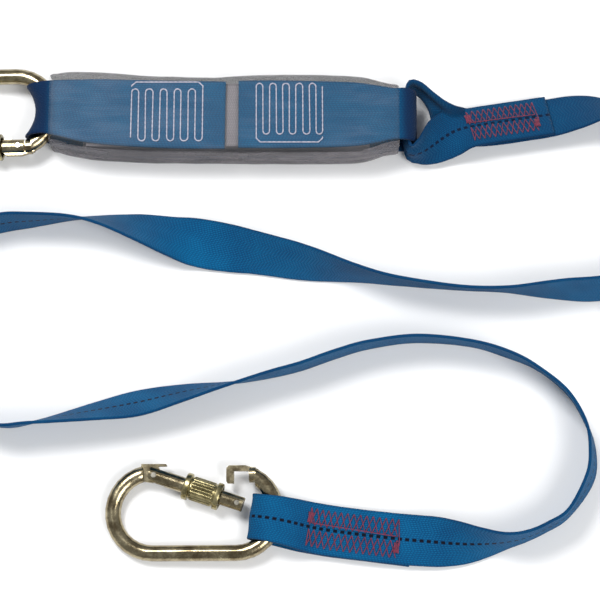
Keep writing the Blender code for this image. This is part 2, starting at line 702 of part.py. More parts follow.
def karabiner_gate(group, tools, name, matrix, mat):
    """Gate in its own axes: the hinge at the origin, the tip along +X."""
    bar = round_bar(group, "bar", (-GATE_HEEL, 0, 0), (GATE_LENGTH, 0, 0), GATE_D, 24)
    wide = 20 * MM
    half = TANG_T / 2 + SLOT_GAP
    fork = box(tools, "fork", -wide, HINGE_SLOT_DEPTH - 1.6 * MM, -wide, wide, -half, half)
    half_tip = TONGUE_T / 2 + SLOT_GAP
    slot = box(tools, "slot", GATE_LENGTH - NOSE_SLOT_DEPTH, wide * 4, -wide, wide, -half_tip, half_tip)
    bore = round_bar(tools, "bore", (0, 0, 0), (SPRING_BORE_END, 0, 0), SPRING_BORE_D, 20)
    gap = 2 * RIVET_HOLE_GAP
    hinge_hole = round_bar(tools, "hinge_hole", (0, 0, -wide), (0, 0, wide), RIVET_D + gap, 14)
    latch_hole = round_bar(
        tools, "latch_hole", (LATCH_L, 0, -wide), (LATCH_L, 0, wide), LATCH_D + gap, 14
    )
    heel = box(tools, "heel", -wide, -GATE_HEEL * 0.55, -wide, -GATE_D * 0.22, -wide, wide)
    steps = [("DIFFERENCE", t) for t in (fork, slot, bore, hinge_hole, latch_hole, heel)]
    return finish(combine(bar, steps), name, matrix, mat)


def cross_pin(group, name, matrix, along, diameter, length, mat, head=0.0):
    half = length / 2
    pin = round_bar(group, "pin", (along, 0, -half), (along, 0, half), diameter, 14)
    return finish(pin, name, matrix, mat)


def sleeve_ring(x, radius, flutes):
    count = FLUTES * 2
    ring = []
    for k in range(count):
        t = 2 * math.pi * k / count
        r = radius - (FLUTE_DEPTH if flutes and k % 2 else 0)
        ring.append((x, r * math.cos(t), r * math.sin(t)))
    return ring


def screw_sleeve(group, name, matrix, mat):
    """Two collars with a fluted barrel between them, on the gate's own axis."""
    front = SLEEVE_FRONT
    back = front - SLEEVE_LENGTH
    chamfer = 0.5 * MM
    c, b, g = COLLAR_D / 2, BARREL_D / 2, GROOVE_D / 2
    profile = [(back, c - chamfer, 0), (back + chamfer, c, 0), (back + COLLAR_W, c, 0)]
    profile += [(back + COLLAR_W, g, 0), (back + COLLAR_W + GROOVE_W, g, 0)]
    profile += [(back + COLLAR_W + GROOVE_W, b, 1), (front - COLLAR_W - GROOVE_W, b, 1)]
    profile += [(front - COLLAR_W - GROOVE_W, g, 0), (front - COLLAR_W, g, 0)]
    profile += [(front - COLLAR_W, c, 0), (front - chamfer, c, 0), (front, c - chamfer, 0)]
    step = front - COUNTERBORE_L
    profile += [(front, COUNTERBORE_D / 2, 0), (step, COUNTERBORE_D / 2, 0)]
    profile += [(step, SLEEVE_BORE_D / 2, 0), (back, SLEEVE_BORE_D / 2, 0)]
    rings = [sleeve_ring(x, r, f) for x, r, f in profile]
    points, faces = ring_loft(rings, closed=True)
    return finish(add_mesh(group, "sleeve", points, faces), name, matrix, mat)


def cam_reach(degrees):
    """How far the tang's heel reaches along the gate axis when the gate is open this much."""
    t = math.radians(abs(degrees))
    return TANG_HEEL * math.cos(t) + 2.4 * MM * math.sin(t)


def spring_and_plunger(group, prefix, matrix, degrees, mats):
    start = cam_reach(degrees) + PLUNGER_GAP
    pin = round_bar(group, "plunger", (start, 0, 0), (start + PLUNGER_L, 0, 0), PLUNGER_D, 18)
    finish(pin, prefix + "_plunger", matrix, mats["steel"])
    x0 = start + PLUNGER_L + 0.3 * MM + SPRING_WIRE_D / 2
    x1 = SPRING_BORE_END - 0.3 * MM - SPRING_WIRE_D / 2
    r = (SPRING_D - SPRING_WIRE_D) / 2
    line = []
    for k in range(SPRING_TURNS * 12 + 1):
        t = 2 * math.pi * k / 12
        x = x0 + (x1 - x0) * k / (SPRING_TURNS * 12)
        line.append((x, r * math.cos(t), r * math.sin(t)))
    wire = tube(group, prefix + "_gate_spring", line, SPRING_WIRE_D, mats["steel"])
    wire.matrix_world = matrix


def karabiner(group, tools, prefix, bow, slopes, flip, degrees, mats):
    frame = frame_matrix(bow, slopes, flip)
    gate = gate_matrix(frame, degrees)
    karabiner_frame(group, tools, prefix + "_frame", frame, mats["zinc"])
    karabiner_gate(group, tools, prefix + "_gate", gate, mats["zinc"])
    hinge = frame @ Matrix.Translation((HINGE_X, GATE_Y, 0))
    cross_pin(group, prefix + "_hinge_rivet", hinge, 0.0, RIVET_D, GATE_D * 0.96, mats["steel"])
    cross_pin(group, prefix + "_latch_pin", gate, LATCH_L, LATCH_D, GATE_D * 0.9, mats["steel"])
    screw_sleeve(group, prefix + "_screw_sleeve", gate, mats["sleeve"])
    spring_and_plunger(group, prefix, gate, degrees, mats)


def materials():
    return {
        "zinc": material("yellow_zinc_steel", (0.42, 0.38, 0.25), 1.0, 0.3),
        "sleeve": material("sleeve_zinc_steel", (0.36, 0.33, 0.2), 1.0, 0.38),
        "steel": material("plain_steel", (0.55, 0.55, 0.56), 1.0, 0.3),
        "strap": material("blue_webbing", (0.02, 0.12, 0.32), 0.0, 0.8),
        "loop": material("navy_webbing", (0.02, 0.08, 0.28), 0.0, 0.8),
        "core": material("grey_webbing", (0.35, 0.33, 0.36), 0.0, 0.85),
        "cover": material("clear_cover", (0.55, 0.58, 0.62), 0.0, 0.2, 0.35),
        "white": material("white_thread", (0.75, 0.76, 0.85), 0.0, 0.7),
        "red": material("red_thread", (0.35, 0.02, 0.06), 0.0, 0.7),
    }


def main():
    clear_scene()
    group = new_collection("shock_absorbing_lanyard")
    tools = new_collection("cutters")
    mats = materials()
    ribbon(group, "lanyard_webbing", LANYARD, STRAP_W, STRAP_T, mats["strap"])
    ribbon(group, "harness_loop_strap", HARNESS_LOOP, LOOP_W, LOOP_T, mats["loop"], 12, 30 * MM)
    ribbon(group, "lanyard_loop_strap", LANYARD_LOOP, LOOP_W, LOOP_T, mats["loop"], 12, 30 * MM)
    folded_core(group, mats["core"])
    cover(group, mats["cover"])
    white_stitching(group, mats["white"])
    red_stitching(group, mats["red"])
    karabiner(group, tools, "harness", HARNESS_BOW, HARNESS_SLOPE, True, HARNESS_GATE_DEG, mats)
    karabiner(group, tools, "anchor", ANCHOR_BOW, ANCHOR_SLOPE, False, ANCHOR_GATE_DEG, mats)


main()
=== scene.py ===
"""Shock absorbing lanyard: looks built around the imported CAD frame.

Metres, +Z up, +X along the absorber. The absorber pack, the length of webbing with its two sewn
eyes, and the two screw-gate karabiners are each a class that makes and dresses its own pieces.
"""

import json
import logging
import math
from dataclasses import dataclass, field
from enum import Enum
from typing import Callable, Sequence

import bmesh
import bpy
import numpy as np
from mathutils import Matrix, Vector, noise

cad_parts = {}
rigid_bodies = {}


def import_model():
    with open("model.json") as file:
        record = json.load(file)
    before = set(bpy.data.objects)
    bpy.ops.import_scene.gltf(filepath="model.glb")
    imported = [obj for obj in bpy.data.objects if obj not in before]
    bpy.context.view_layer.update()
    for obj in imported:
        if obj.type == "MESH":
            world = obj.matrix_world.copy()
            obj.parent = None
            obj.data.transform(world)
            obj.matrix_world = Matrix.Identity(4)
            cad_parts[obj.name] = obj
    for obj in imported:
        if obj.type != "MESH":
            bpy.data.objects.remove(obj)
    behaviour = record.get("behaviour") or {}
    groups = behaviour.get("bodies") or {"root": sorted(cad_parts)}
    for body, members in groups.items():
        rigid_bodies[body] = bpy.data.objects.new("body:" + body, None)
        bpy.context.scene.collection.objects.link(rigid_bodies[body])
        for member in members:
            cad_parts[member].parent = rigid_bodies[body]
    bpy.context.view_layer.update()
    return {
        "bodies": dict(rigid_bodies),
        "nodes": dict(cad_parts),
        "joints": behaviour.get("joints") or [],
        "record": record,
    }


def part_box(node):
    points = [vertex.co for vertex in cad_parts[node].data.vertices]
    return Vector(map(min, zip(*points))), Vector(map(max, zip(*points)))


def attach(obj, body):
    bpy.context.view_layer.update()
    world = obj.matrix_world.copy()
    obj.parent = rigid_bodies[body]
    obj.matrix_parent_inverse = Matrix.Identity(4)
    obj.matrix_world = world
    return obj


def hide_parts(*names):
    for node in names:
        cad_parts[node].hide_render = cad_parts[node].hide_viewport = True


MM = 0.001
Station = tuple[float, ...]
Point = tuple[float, float, float]
Socket = bpy.types.NodeSocket

log = logging.getLogger("lanyard")

# centreline of the lanyard webbing: x, y, z in mm, heading and roll in degrees, width share
LANYARD: list[Station] = [
    (200.5, 4.6, 9.6, 188, 22, 1.0),
    (185.0, 2.2, 9.6, 188, 22, 1.0),
    (165.0, -0.9, 9.6, 188, 22, 1.0),
    (150.0, -3.6, 9.9, 190, 20, 1.0),
    (141.0, -6.4, 10.6, 197, 4, 0.98),
    (133.0, -11.4, 12.4, 206, -24, 0.94),
    (126.0, -16.6, 14.0, 206, -46, 0.88),
    (119.6, -20.4, 15.0, 194, -66, 0.8),
    (113.4, -21.2, 15.0, 152, -80, 0.65),
    (110.8, -14.0, 14.9, 100, -88, 0.65),
    (110.6, -4.0, 15.0, 90, -90, 0.66),
    (110.6, 5.0, 15.0, 90, -90, 0.66),
    (110.8, 14.0, 15.0, 82, -92, 0.66),
    (113.4, 21.4, 15.0, 24, -93, 0.67),
    (119.6, 20.0, 15.0, -32, -93, 0.70),
    (126.0, 14.2, 14.2, -44, -97, 0.68),
    (131.5, 8.4, 12.4, -42, -112, 0.66),
    (137.0, 3.2, 9.2, -34, -146, 0.68),
    (143.0, -0.6, 6.7, -14, -184, 0.82),
    (151.0, -2.2, 6.7, 2, -199, 0.96),
    (165.0, -1.7, 7.2, 8, -202, 1.0),
    (185.0, 1.3, 7.2, 8, -202, 1.0),
    (201.0, 3.7, 7.4, 7, -204, 1.0),
    (217.0, 6.6, 9.4, 6, -211, 1.0),
    (232.0, 7.6, 12.1, 0, -226, 1.0),
    (249.0, 5.0, 15.1, -14, -248, 1.0),
    (268.0, -4.5, 15.4, -36, -262, 1.0),
    (284.0, -22.0, 15.4, -60, -268, 1.0),
    (291.5, -45.0, 15.4, -84, -270, 1.0),
    (288.0, -69.0, 15.4, -112, -268, 1.0),
    (274.0, -89.0, 15.4, -138, -262, 1.0),
    (252.0, -102.0, 15.2, -162, -256, 1.0),
    (227.0, -107.0, 15.1, -180, -254, 1.0),
    (202.0, -107.5, 15.4, -180, -261, 1.0),
    (173.0, -107.5, 15.4, -180, -277, 1.0),
    (150.0, -107.0, 15.4, -181, -280, 1.0),
    (127.0, -105.0, 15.4, -186, -278, 1.0),
    (100.0, -101.5, 15.4, -190, -273, 1.0),
    (77.0, -97.0, 15.4, -192, -262, 1.0),
    (46.0, -90.0, 13.6, -193, -238, 1.0),
    (15.0, -83.0, 11.2, -192, -222, 1.0),
    (-12.0, -77.0, 6.0, -192, -192, 1.0),
    (-33.0, -72.5, 7.4, -191, -157, 1.0),
    (-56.0, -67.5, 12.2, -190, -132, 1.0),
    (-76.0, -64.0, 14.6, -186, -113, 1.0),
    (-94.0, -62.5, 15.3, -180, -101, 1.0),
    (-119.0, -64.0, 15.4, -178, -89, 1.0),
    (-137.0, -66.0, 15.4, -174, -84, 1.0),
    (-162.0, -73.0, 15.4, -156, -86, 1.0),
    (-182.0, -89.0, 15.4, -126, -90, 1.0),
    (-192.0, -112.0, 15.4, -100, -90, 1.0),
    (-192.0, -137.0, 15.4, -80, -90, 1.0),
    (-182.0, -161.0, 15.4, -54, -90, 1.0),
    (-163.0, -180.0, 15.4, -30, -88, 1.0),
    (-136.0, -190.5, 15.4, -10, -83, 1.0),
    (-114.0, -189.0, 15.4, 6, -80, 1.0),
    (-76.0, -182.0, 13.9, 10, -61, 1.0),
    (-51.0, -177.0, 12.6, 12, -51, 1.0),
    (-24.0, -171.0, 14.1, 13, -62, 1.0),
    (6.0, -165.0, 15.2, 12, -79, 1.0),
    (27.0, -160.0, 15.4, 14, -86, 1.0),
    (46.0, -155.0, 15.4, 17, -88, 1.0),
    (67.0, -147.5, 15.4, 15, -88, 1.0),
    (88.0, -141.5, 15.4, 11, -87, 1.0),
    (117.0, -138.0, 15.4, 0, -86, 1.0),
    (149.0, -141.0, 15.4, -12, -84, 1.0),
    (172.0, -148.0, 15.4, -21, -84, 1.0),
    (189.0, -156.5, 15.2, -31, -80, 1.0),
    (206.0, -171.0, 15.2, -50, -80, 1.0),
    (216.5, -190.0, 15.3, -72, -80, 1.0),
    (219.5, -207.0, 15.2, -90, -76, 1.0),
    (217.0, -223.0, 15.2, -108, -76, 1.0),
    (204.0, -243.0, 15.4, -138, -84, 1.0),
    (191.0, -251.5, 15.4, -152, -85, 1.0),
    (179.0, -256.8, 15.4, -163, -84, 1.0),
    (167.0, -259.6, 15.2, -172, -78, 1.0),
    (153.0, -260.6, 13.6, -178, -60, 1.0),
    (138.0, -260.3, 10.6, -182, -36, 1.0),
    (122.0, -259.0, 7.6, -185, -14, 1.0),
    (106.0, -257.6, 6.0, -186, -4, 1.0),
    (84.0, -255.2, 5.9, -187, 0, 1.0),
    (64.0, -252.6, 6.0, -187, 0, 1.0),
    (55.0, -251.2, 7.2, -187, 0, 1.0),
    (48.0, -250.0, 10.4, -188, 0, 0.98),
    (39.5, -248.4, 15.4, -188, 0, 0.95),
    (31.0, -246.8, 16.9, -188, 0, 0.92),
    (22.5, -245.4, 15.4, -187, 0, 0.9),
    (16.5, -244.4, 9.6, -187, 0, 0.9),
    (21.0, -245.2, 3.6, -187, 0, 0.9),
    (30.0, -246.7, 2.4, -188, 0, 0.92),
    (46.0, -249.8, 2.3, -188, 0, 0.98),
    (66.0, -253.0, 2.6, -187, 0, 1.0),
    (84.0, -255.2, 3.3, -187, 0, 1.0),
    (100.0, -257.2, 3.2, -187, 0, 1.0),
    (112.0, -258.6, 2.6, -187, 0, 1.0),
]

# loops of the absorber: as above, and how far the edges run ahead of the middle along -X, in mm
HARNESS_LOOP: list[Station] = [
    (0.0, -0.6, 25.7, 180, 0, 1.05, 0),
    (-40.0, 0.0, 25.7, 180, 0, 1.05, 0),
    (-80.0, 2.0, 25.7, 180, 0, 1.0, 0),
    (-96.0, 4.0, 25.4, 180, 0, 0.9, 1),
    (-106.0, 5.4, 24.0, 180, 0, 0.82, 3.2),
    (-112.5, 5.5, 21.4, 180, 0, 0.80, 5.4),
    (-116.3, 5.5, 16.2, 180, 0, 0.80, 6.2),
    (-116.3, 5.5, 9.6, 180, 0, 0.80, 6.2),
    (-112.5, 5.5, 4.8, 180, 0, 0.80, 5.4),
    (-106.0, 5.4, 2.9, 180, 0, 0.82, 3.2),
    (-96.0, 4.0, 2.4, 180, 0, 0.9, 1),
    (-80.0, 2.0, 2.4, 180, 0, 1.0, 0),
    (-40.0, 0.0, 2.4, 180, 0, 1.05, 0),
    (0.0, -0.6, 2.4, 180, 0, 1.05, 0),
]
LANYARD_LOOP: list[Station] = [
    (8.0, 0.0, 25.7, 0, 0, 1.05, 0),
    (40.0, 0.0, 25.7, 0, 0, 1.05, 0),
    (76.0, 0.0, 25.7, 0, 0, 1.0, 0),
    (92.0, 0.0, 26.2, 0, 0, 0.9, 0),
    (103.0, 0.0, 27.1, 0, 0, 0.80, 0),
    (110.6, 0.0, 27.2, 0, 0, 0.80, 0),
    (115.6, 0.0, 22.5, 0, 0, 0.80, 0),
    (116.6, 0.0, 15.0, 0, 0, 0.80, 0),
    (115.6, 0.0, 7.5, 0, 0, 0.80, 0),
    (110.6, 0.0, 2.7, 0, 0, 0.80, 0),
    (103.0, 0.0, 2.4, 0, 0, 0.80, 0),
    (92.0, 0.0, 2.4, 0, 0, 0.9, 0),
    (76.0, 0.0, 2.4, 0, 0, 1.0, 0),
    (40.0, 0.0, 2.4, 0, 0, 1.05, 0),
    (8.0, 0.0, 2.4, 0, 0, 1.05, 0),
]

# clear cover: along X, front Y, back Y, top Z, bottom Z, corner radius, all in mm
COVER: list[Station] = [
    (-108.0, -16.5, 25.6, 28.0, 0.6, 5.0),
    (-103.0, -18.8, 26.8, 28.5, 0.2, 4.6),
    (-96.0, -20.5, 27.8, 28.9, 0.0, 4.0),
    (-78.0, -23.2, 27.2, 28.9, 0.0, 3.4),
    (-45.0, -24.6, 24.8, 28.9, 0.0, 3.2),
    (-8.0, -25.0, 23.6, 28.9, 0.0, 3.2),
    (3.0, -25.2, 24.6, 28.9, 0.0, 3.2),
    (20.0, -25.2, 25.6, 28.9, 0.0, 3.2),
    (52.0, -25.3, 25.6, 28.9, 0.0, 3.2),
    (78.0, -25.3, 24.8, 28.9, 0.0, 3.6),
    (88.0, -24.4, 23.8, 29.1, 0.0, 5.0),
    (93.0, -22.6, 22.6, 29.3, 0.2, 6.6),
    (99.0, -20.6, 21.0, 29.7, 0.5, 7.6),
    (106.5, -19.4, 19.4, 30.0, 0.8, 8.0),
]


class Ending(Enum):
    """How a lofted skin closes: with a cap at each end, or by joining back to its first ring."""

    CAPPED = "capped"
    JOINED = "joined"


class End(Enum):
    """The two ends of the lanyard, by the name that their CAD pieces start with."""

    HARNESS = "harness"
    ANCHOR = "anchor"


# ------------------------------------------------------------------ materials


class Graph:
    """One material's node graph, written in the order that its maths reads."""

    def __init__(self, name: str) -> None:
        """Starts an empty node material.

        Args:
            name: the material's name.
        """
        self.material = bpy.data.materials.new(name)
        self.material.use_nodes = True
        self.tree = self.material.node_tree
        self.shader = self.tree.nodes["Principled BSDF"]

    def node(self, kind: str) -> bpy.types.Node:
        """Adds a node of this type."""
        return self.tree.nodes.new(kind)

    def feed(self, socket: Socket, value: Socket | float | Sequence[float]) -> None:
        """Links a socket to another, or sets its own value.

        Args:
            socket: the input to fill.
            value: an output to link, a number, or a colour or vector.
        """
        if isinstance(value, bpy.types.NodeSocket):
            self.tree.links.new(value, socket)
        else:
            socket.default_value = value

    def maths(self, kind: str, *values: Socket | float) -> Socket:
        """One Math node.

        Args:
            kind: the operation, such as MULTIPLY.
            values: its inputs in order.

        Returns:
            The result's socket.
        """
        made = self.node("ShaderNodeMath")
        made.operation = kind
        for socket, value in zip(made.inputs, values):
            self.feed(socket, value)
        return made.outputs[0]

    def mix(
        self, share: Socket | float, first: Socket | Sequence[float], second: Socket | Sequence[float]
    ) -> Socket:
        """A mix of two colours.

        Args:
            share: 0 for the first colour, 1 for the second.
            first: a colour or a colour socket.
            second: a colour or a colour socket.

        Returns:
            The mixed colour's socket.
        """
        made = self.node("ShaderNodeMix")
        made.data_type = "RGBA"
        self.feed(made.inputs["Factor"], share)
        for socket, colour in ((made.inputs[6], first), (made.inputs[7], second)):
            self.feed(socket, colour if isinstance(colour, bpy.types.NodeSocket) else (*colour, 1.0))
        return made.outputs[2]

    def ramp(self, value: Socket, low: float, high: float) -> Socket:
        """0 at low and 1 at high, smooth between them.

        Args:
            value: the number to map.
            low: where the result is 0.
            high: where the result is 1.

        Returns:
            The mapped number's socket.
        """
        made = self.node("ShaderNodeMapRange")
        made.interpolation_type = "SMOOTHSTEP"
        self.feed(made.inputs["Value"], value)
        made.inputs["From Min"].default_value = low
        made.inputs["From Max"].default_value = high
        return made.outputs["Result"]

    def noise(self, vector: Socket, scale: float, detail: float = 2.0) -> Socket:
        """Smooth noise over a vector.

        Args:
            vector: where to read it.
            scale: how many features to a unit of the vector.
            detail: how many finer layers it has.

        Returns:
            The noise's number, about 0.5 in the middle.
        """
        made = self.node("ShaderNodeTexNoise")
        self.feed(made.inputs["Vector"], vector)
        made.inputs["Scale"].default_value = scale
        made.inputs["Detail"].default_value = detail
        return made.outputs["Fac"]

    def place(self, stretch: Point = (1.0, 1.0, 1.0)) -> Socket:
        """The object's own coordinates in metres, each times its stretch."""
        coordinates = self.node("ShaderNodeTexCoord")
        mapping = self.node("ShaderNodeMapping")
        self.feed(mapping.inputs["Vector"], coordinates.outputs["Object"])
        mapping.inputs["Scale"].default_value = stretch
        return mapping.outputs["Vector"]

    def along_and_across(self) -> tuple[Socket, Socket, Socket]:
        """A webbing's own coordinates.

        Returns:
            Metres across it, metres along it, and the two as one vector.
        """
        made = self.node("ShaderNodeUVMap")
        made.uv_map = "weave"
        parts = self.node("ShaderNodeSeparateXYZ")
        self.feed(parts.inputs[0], made.outputs["UV"])
        return parts.outputs["X"], parts.outputs["Y"], made.outputs["UV"]

    def attribute(self, name: str) -> Socket:
        """A number stored on the mesh under this name."""
        made = self.node("ShaderNodeAttribute")
        made.attribute_name = name
        return made.outputs["Fac"]

    def bump(self, height: Socket, strength: float, distance: float) -> None:
        """Raises the surface by a height map.

        Args:
            height: the height from 0 to 1.
            strength: how much of it shows.
            distance: what a height of 1 is in metres.
        """
        made = self.node("ShaderNodeBump")
        made.inputs["Strength"].default_value = strength
        made.inputs["Distance"].default_value = distance
        self.feed(made.inputs["Height"], height)
        self.feed(self.shader.inputs["Normal"], made.outputs["Normal"])


@dataclass(frozen=True)
class WebbingFinish:
    """Woven polyester: chevron twill, a darker selvage and, if it has one, a dashed tracer yarn."""

    name: str
    light: Point
    dark: Point
    half_width: float
    tracer: bool = False
    roughness: float = 0.78
    row: float = 1.15 * MM
    pick: float = 1.9 * MM
    chevron_rows: float = 5.0
    tracer_half: float = 1.05 * MM
    tracer_pitch: float = 4.3 * MM
    tracer_share: float = 0.64
    tracer_colour: Point = (0.003, 0.004, 0.012)
    # where along X the painted shade on the loops' bare ends starts, and the shade's colour
    end_shade_from: float = 0.0
    end_shade_colour: Point = (0.003, 0.010, 0.045)
    # where along Y the painted shade on the end sewn to the absorber starts
    shaded_from: float | None = None

    def material(self) -> bpy.types.Material:
        """The node material of this webbing."""
        g = Graph(self.name)
        across, along, both = g.along_and_across()
        rows = g.maths("DIVIDE", across, self.row)
        index = g.maths("FLOOR", rows)
        in_row = g.maths("SINE", g.maths("MULTIPLY", g.maths("FRACT", rows), math.pi))
        slant = g.maths("MULTIPLY", g.maths("PINGPONG", index, self.chevron_rows), 0.27)
        picks = g.maths("FRACT", g.maths("ADD", g.maths("DIVIDE", along, self.pick), slant))
        in_pick = g.maths("SINE", g.maths("MULTIPLY", picks, math.pi))
        height = g.maths("MULTIPLY", in_row, g.maths("POWER", in_pick, 0.7))
        patches = g.noise(both, 45.0, 3.0)
        fibres = g.noise(both, 1900.0, 2.0)
        share = g.maths("MULTIPLY_ADD", height, 0.50, g.maths("MULTIPLY_ADD", patches, 0.6, -0.18))
        share = g.maths("MULTIPLY_ADD", fibres, 0.22, share)
        colour = g.mix(g.ramp(share, 0.05, 1.0), self.dark, self.light)
        edge = g.ramp(g.maths("ABSOLUTE", across), self.half_width - 1.6 * MM, self.half_width)
        colour = g.mix(g.maths("MULTIPLY", edge, 0.55), colour, tuple(0.55 * c for c in self.dark))
        if self.tracer:
            colour = self.with_tracer(g, across, along, colour)
        # painted shade on the loops' bare ends
        if self.end_shade_from:
            colour = self.with_painted_end_shade(g, patches, colour)
        # painted shade on the end sewn to the absorber
        if self.shaded_from is not None:
            colour = self.with_painted_pack_shade(g, patches, colour)
        g.feed(g.shader.inputs["Base Color"], colour)
        g.shader.inputs["Roughness"].default_value = self.roughness
        g.shader.inputs["Specular IOR Level"].default_value = 0.12
        g.shader.inputs["Sheen Weight"].default_value = 0.06
        g.shader.inputs["Sheen Roughness"].default_value = 0.4
        g.bump(g.maths("ADD", height, g.maths("MULTIPLY", fibres, 0.25)), 0.85, 0.35 * MM)
        return g.material

    def with_painted_pack_shade(self, g: Graph, patches: Socket, colour: Socket) -> Socket:
        """Paints shade on the end that is sewn to the absorber, where it lies by the pack.

        Args:
            g: the graph being built.
            patches: slow noise that breaks the edge of the dark part.
            colour: the webbing's own colour.

        Returns:
            The colour with the painted shade on its end.
        """
        parts = g.node("ShaderNodeSeparateXYZ")
        g.feed(parts.inputs[0], g.place())
        back = g.maths("MULTIPLY_ADD", patches, 12.0 * MM, parts.outputs["Y"])
        dark = g.ramp(back, self.shaded_from, self.shaded_from + 45.0 * MM)
        return g.mix(g.maths("MULTIPLY", dark, 0.45), colour, (0.001, 0.018, 0.06))

    def with_painted_end_shade(self, g: Graph, patches: Socket, colour: Socket) -> Socket:
        """Paints shade on the bare ends of the loops, which curve down away from the light.

        Args:
            g: the graph being built.
            patches: slow noise that breaks the edge of the dark part.
            colour: the webbing's own colour.

        Returns:
            The colour with painted shade at its ends.
        """
        parts = g.node("ShaderNodeSeparateXYZ")
        g.feed(parts.inputs[0], g.place())
        along = g.maths("ABSOLUTE", parts.outputs["X"])
        along = g.maths("MULTIPLY_ADD", patches, 4.0 * MM, along)
        dark = g.ramp(along, self.end_shade_from, self.end_shade_from + 10.0 * MM)
        return g.mix(g.maths("MULTIPLY", dark, 0.86), colour, self.end_shade_colour)

    def with_tracer(self, g: Graph, across: Socket, along: Socket, colour: Socket) -> Socket:
        """Adds the dashed tracer yarn down the middle of the tracer face.

        Args:
            g: the graph being built.
            across: metres across the webbing.
            along: metres along it.
            colour: the webbing's own colour.

        Returns:
            The colour with the tracer in it.
        """
        dash = g.maths("FRACT", g.maths("DIVIDE", along, self.tracer_pitch))
        half_dash = self.tracer_share / 2
        from_middle = g.maths("ABSOLUTE", g.maths("SUBTRACT", dash, half_dash))
        on_dash = g.maths("SUBTRACT", 1.0, g.ramp(from_middle, half_dash - 0.06, half_dash))
        near = g.ramp(g.maths("ABSOLUTE", across), self.tracer_half, self.tracer_half * 0.7)
        mask = g.maths("MULTIPLY", g.maths("MULTIPLY", on_dash, near), g.attribute("tracer_face"))
        return g.mix(mask, colour, self.tracer_colour)


@dataclass(frozen=True)
class ThreadFinish:
    """Polyester sewing thread with its twist."""

    name: str
    colour: Point
    shade: Point

    def material(self) -> bpy.types.Material:
        """The node material of this thread."""
        g = Graph(self.name)
        where = g.place()
        wear = g.noise(where, 420.0, 2.0)
        twist = g.noise(g.place((1.0, 1.0, 0.3)), 2600.0, 1.0)
        share = g.ramp(g.maths("MULTIPLY_ADD", wear, 0.6, g.maths("MULTIPLY", twist, 0.5)), 0.3, 0.75)
        g.feed(g.shader.inputs["Base Color"], g.mix(share, self.shade, self.colour))
        g.shader.inputs["Roughness"].default_value = 0.6
        g.shader.inputs["Sheen Weight"].default_value = 0.2
        g.bump(twist, 0.5, 0.15 * MM)
        return g.material


@dataclass(frozen=True)
class FilmFinish:
    """Clear soft film: milky, handled and creased, see-through."""

    name: str = "clear_film"
    clear: Point = (0.11, 0.125, 0.13)
    milky: Point = (0.24, 0.25, 0.265)
    alpha: float = 0.09
    roughness: float = 0.36
    relief: float = 0.5

    def material(self) -> bpy.types.Material:
        """The node material of the film."""
        g = Graph(self.name)
        patches = g.noise(g.place((0.6, 1.0, 1.4)), 38.0, 4.0)
        creases = g.noise(g.place((0.25, 1.6, 1.6)), 160.0, 3.0)
        share = g.ramp(g.maths("MULTIPLY_ADD", creases, 0.5, g.maths("MULTIPLY", patches, 0.5)), 0.4, 0.64)
        g.feed(g.shader.inputs["Base Color"], g.mix(share, self.clear, self.milky))
        g.shader.inputs["Roughness"].default_value = self.roughness
        g.shader.inputs["Alpha"].default_value = self.alpha
        g.shader.inputs["Specular IOR Level"].default_value = 0.3
        g.bump(g.maths("MULTIPLY_ADD", creases, 0.7, patches), self.relief, 0.8 * MM)
        return g.material


@dataclass(frozen=True)
class SteelFinish:
    """Plated steel: blotches of bright and of dull olive and brown, spread by noise."""

    name: str
    bright: Point
    dull: Point
    roughness: float
    grain: float = 0.0

    def material(self) -> bpy.types.Material:
        """The node material of this steel."""
        g = Graph(self.name)
        blotches = g.noise(g.place(), 130.0, 4.0)
        drawn = g.noise(g.place(), 900.0, 2.0)
        pits = g.noise(g.place(), 2400.0, 1.0)
        share = g.ramp(g.maths("MULTIPLY_ADD", drawn, 0.35, g.maths("MULTIPLY", blotches, 0.7)), 0.34, 0.72)
        g.feed(g.shader.inputs["Base Color"], g.mix(share, self.dull, self.bright))
        g.shader.inputs["Metallic"].default_value = 1.0
        uneven = g.maths("MULTIPLY_ADD", g.maths("SUBTRACT", blotches, 0.5), 0.35, self.roughness)
        g.feed(g.shader.inputs["Roughness"], g.maths("MAXIMUM", uneven, 0.12))
        g.bump(g.maths("MULTIPLY_ADD", pits, 0.6, drawn), 0.25 + self.grain, 0.1 * MM)
        return g.material


# ------------------------------------------------------------------ geometry


def catmull(rows: np.ndarray, t: float) -> np.ndarray:
    """A point on the smooth curve through the rows.

    Args:
        rows: the curve's control rows.
        t: where on it, in rows from the start.

    Returns:
        The row there.
    """
    i = min(int(t), len(rows) - 2)
    f = t - i
    p0, p1 = rows[max(i - 1, 0)], rows[i]
    p2, p3 = rows[i + 1], rows[min(i + 2, len(rows) - 1)]
    return 0.5 * (
        2 * p1 + (p2 - p0) * f + (2 * p0 - 5 * p1 + 4 * p2 - p3) * f * f + (3 * p1 - p0 - 3 * p2 + p3) * f**3
    )


def unit(vectors: np.ndarray) -> np.ndarray:
    """Each row made one long."""
    return vectors / np.linalg.norm(vectors, axis=-1, keepdims=True)


def linked(name: str, data: bpy.types.ID) -> bpy.types.Object:
    """A new object with this data, in the scene."""
    made = bpy.data.objects.new(name, data)
    bpy.context.scene.collection.objects.link(made)
    return made


def aim(thing: bpy.types.Object, way: Vector) -> None:
    """Turns a camera or a lamp to look this way."""
    thing.rotation_mode = "QUATERNION"
    thing.rotation_quaternion = way.to_track_quat("-Z", "Y")


